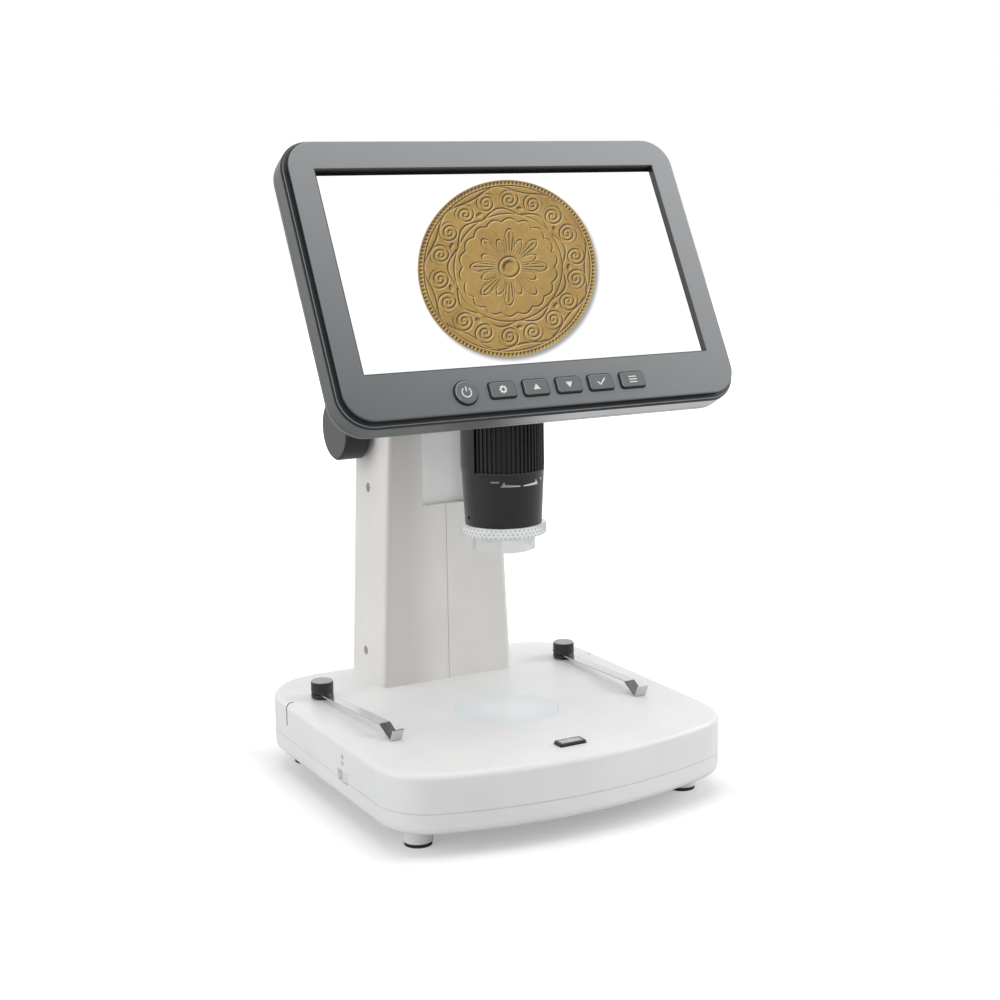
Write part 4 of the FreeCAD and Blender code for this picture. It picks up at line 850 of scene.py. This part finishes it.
basePrint = {"key": (-65.5, 35.23), "wall": (-78.53, -16.8, 26.2),   # mm: y, z and x, y, z
             "light": {"disc": (0.55, 1.0), "rays": (1.35, 2.15), "half": 0.2, "steps": 32},
             "bright": {"disc": (0.0, 0.52), "rays": (0.8, 1.25), "half": 0.14, "steps": 24},
             "dim": (0.5, 0.85), "brightUp": 1.5, "dimUp": -1.3,
             "pale": ((214, 216, 216), (230, 231, 231)), "grey": ((128, 130, 132), (146, 148, 150))}


def onStageKey(flat):
    y, z = basePrint["key"]
    return np.column_stack([flat[:, 0], flat[:, 1] + y, np.full(len(flat), z)])


def onLeftWall(flat):
    # seen from outside, a point to the right lies further to the front
    x, y, z = basePrint["wall"]
    return np.column_stack([np.full(len(flat), x), y - flat[:, 0], z + flat[:, 1]])


def basePrints():
    # a small sun on the key; on the wall a sun above a ring
    pale = printFinish("printPale", *basePrint["pale"])
    grey = printFinish("printSign", *basePrint["grey"])
    printed("print_light", sun(**basePrint["light"]), onStageKey, pale,
            "stage_key")
    bright = [grid + [0, basePrint["brightUp"]] for grid in sun(**basePrint["bright"])]
    dim = ringOf(*basePrint["dim"], 24) + [0, basePrint["dimUp"]]
    printed("print_brightness", bright + [dim], onLeftWall, grey, "base")
    print("signs on the base")


# Black collars that carry the stage clips

collar = {"across": 61.5, "deep": 44, "low": 34.3, "high": 36.05,   # mm
          "inner": 3.3, "outer": 4.9, "edge": 0.3}


def clipCollars(finish):
    # a section with two bevelled outer corners, turned about the post
    low, high = collar["low"], collar["high"]
    inner, outer, edge = collar["inner"], collar["outer"], collar["edge"]
    section = np.array([(inner, low), (outer - edge, low), (outer, low + edge),
                        (outer, high - edge), (outer - edge, high), (inner, high), (inner, low)])
    t = np.linspace(0, 2 * math.pi, 41)[:-1, None]
    for side, turn in (("right", 1), ("left", -1)):
        points = np.stack([turn * collar["across"] + section[:, 0] * np.cos(t),
                           collar["deep"] + section[:, 0] * np.sin(t), section[:, 1] + 0 * t], -1)
        piece("clip_collar_" + side, points.reshape(-1, 3), gridFaces(40, 7, turn=True), finish,
              "clip_" + side, False)
    print("collars under the clips")


# Every node keeps its shape and gets its finish

def dressNodes():
    dress = {
        brushed("steel", tones["steel"], "Z"):
            "base_screws stand_screws column_screws guide_rod_right guide_rod_left focus_shaft "
            "hinge_pin bracket_screws clip_post_right clip_post_left",
        moulded("satinBlack", tones["satin"]):
            "brightness_control power_inlet camera_arm lens_carrier hinge_nuts friction_discs",
        baseFinish(): "base_upper_shell base_lower_shell",
        columnFinish(): "stand_right_shell stand_left_shell",
        moulded("apronWhite", tones["apron"]): "carriage_block brightness_wheel",
        moulded("footRubber", tones["rubber"]):
            "foot_pad_front_right foot_pad_front_left foot_pad_rear_right foot_pad_rear_left",
        brushed("castAlloy", tones["alloy"], "Z"): "focus_frame hinge_bracket",
        brushed("brass", tones["brass"], "X"): "focus_rack shaft_bushes",
        boardFinish():
            "stage_light_board stage_key_board led_ring_board sensor_board main_board key_board",
        knobFinish(): "focus_knob_right focus_knob_left",
        frostedFinish(): "stage_diffuser",
        moulded("lidBlack", tones["lid"]): "barrel_lid",
        clipKnobFinish(): "clip_knob_right clip_knob_left",
        moulded("barrelBlack", tones["barrel"], Sheen_Weight=0.35, Sheen_Roughness=0.35):
            "camera_barrel",
        moulded("ringRubber", tones["ring"]): "focus_ring",
        springFinish(): "clip_spring_right clip_spring_left",
        lensFinish(): "objective_lens",
        clearFinish(): "clear_cap",
        bezelFinish(): "display_bezel",
        frameFinish(): "display_frame",
        backFinish(): "display_back_shell",
        panelFinish(): "lcd_panel",
        keyFinish("keyRound", roundEdge): "key_power",
        keyFinish("keySquare", squareEdge): "key_settings key_up key_down key_confirm key_menu",
        stageKeyFinish(): "stage_key",
    }
    left = set(nodes)
    for finish, names in dress.items():
        for name in names.split():
            nodes[name].data.materials.clear()
            nodes[name].data.materials.append(finish)
            left.discard(name)
    print("finishes on all nodes; left over:", sorted(left))


# Studio: pale floor, white surround, three soft lamps

studio = {"surround": 0.54,   # its strength on the object; the camera sees it white
          "lamps": {"key": {"watts": 20.0, "place": (2.0, -0.75, 1.1), "size": 1.1},   # m
                    "fill": {"watts": 12.0, "place": (-2.0, 0.2, 0.8), "size": 1.3},
                    "top": {"watts": 13.0, "place": (0.0, 0.1, 1.9), "size": 1.5}},
          "aim": (0, 0, 0.12)}   # m

floorLook = {"half": 3, "tones": ((211, 211, 211), (215, 215, 215)),   # m
             "glow": 0.6, "near": 300, "far": 1200,   # strength for the camera, mm
             "side": 78.5, "rear": 82, "bow": 0.0026}   # outline of the base's foot, mm


def makeSurround():
    # white for camera, mirror and glass rays, dimmer as a light on the object
    world = bpy.data.worlds.new("surround")
    scene.world = world
    world.use_nodes = True
    tree = world.node_tree
    back = tree.nodes["Background"]
    path = tree.nodes.new("ShaderNodeLightPath")
    rays = [Term(tree, path.outputs["Is " + kind + " Ray"])
            for kind in ("Camera", "Glossy", "Transmission")]
    seen = rays[0].most(rays[1]).most(rays[2])
    strength = seen * (1 - studio["surround"]) + studio["surround"]
    back.inputs["Color"].default_value = (1, 1, 1, 1)
    tree.links.new(strength.socket, back.inputs["Strength"])


def floorFinish():
    # pale floor, lifted towards white for the camera: fully far away, less beside the foot, where a
    # soft painted shadow keeps it darker round the base
    def build(start):
        seen = start.node("LightPath")
        x, y, z = start.axes()
        outside = (x.size() - floorLook["side"]).most(y - floorLook["rear"])
        outside = outside.most(x * x * floorLook["bow"] - y - floorLook["rear"])
        # painted shadow: the camera glow held at half under the base, rising to full 30 mm outside
        # its foot
        paintedShadowFade = 0.5 + outside.step(-10, 30) * 0.5
        away = distance(x, y).step(floorLook["near"], floorLook["far"])
        glow = seen * (paintedShadowFade * floorLook["glow"] + away * (1 - floorLook["glow"]))
        low, high = (rgb(*tone) for tone in floorLook["tones"])
        return {"Base Color": start.noise(3, 1.0).mix(low, high),
                "Emission Color": glow.mix((0, 0, 0, 1), (1, 1, 1, 1))}
    return material("floorPale", build, Roughness=0.9, Emission_Strength=1.0,
                    Specular_IOR_Level=0.0)


def makeFloor():
    # level grid at height 0
    reach = np.linspace(-floorLook["half"], floorLook["half"], 9)
    u, v = np.meshgrid(reach, reach, indexing="ij")
    points = np.stack([u, v, np.zeros_like(u)], -1).reshape(-1, 3)
    mesh = bpy.data.meshes.new("floor")
    mesh.from_pydata(points.tolist(), [], gridFaces(9, 9).tolist())
    mesh.materials.append(floorFinish())
    floor = bpy.data.objects.new("floor", mesh)
    scene.collection.objects.link(floor)


def makeLamps():
    for name, spec in studio["lamps"].items():
        light = bpy.data.lights.new(name, "AREA")
        light.energy, light.size = spec["watts"], spec["size"]
        lamp = bpy.data.objects.new(name, light)
        lamp.location = spec["place"]
        aim = np.array(studio["aim"]) - np.array(spec["place"])
        lamp.rotation_euler = mathutils.Vector(aim).to_track_quat("-Z", "Y").to_euler()
        scene.collection.objects.link(lamp)


dressNodes()
screenPicture()
keyPrints()
barrelMarks()
dotsOnCap()
basePrints()
clipCollars(moulded("collarBlack", tones["satin"]))
makeSurround()
makeFloor()
makeLamps()
scene.view_settings.view_transform = "Standard"
print("studio ready")
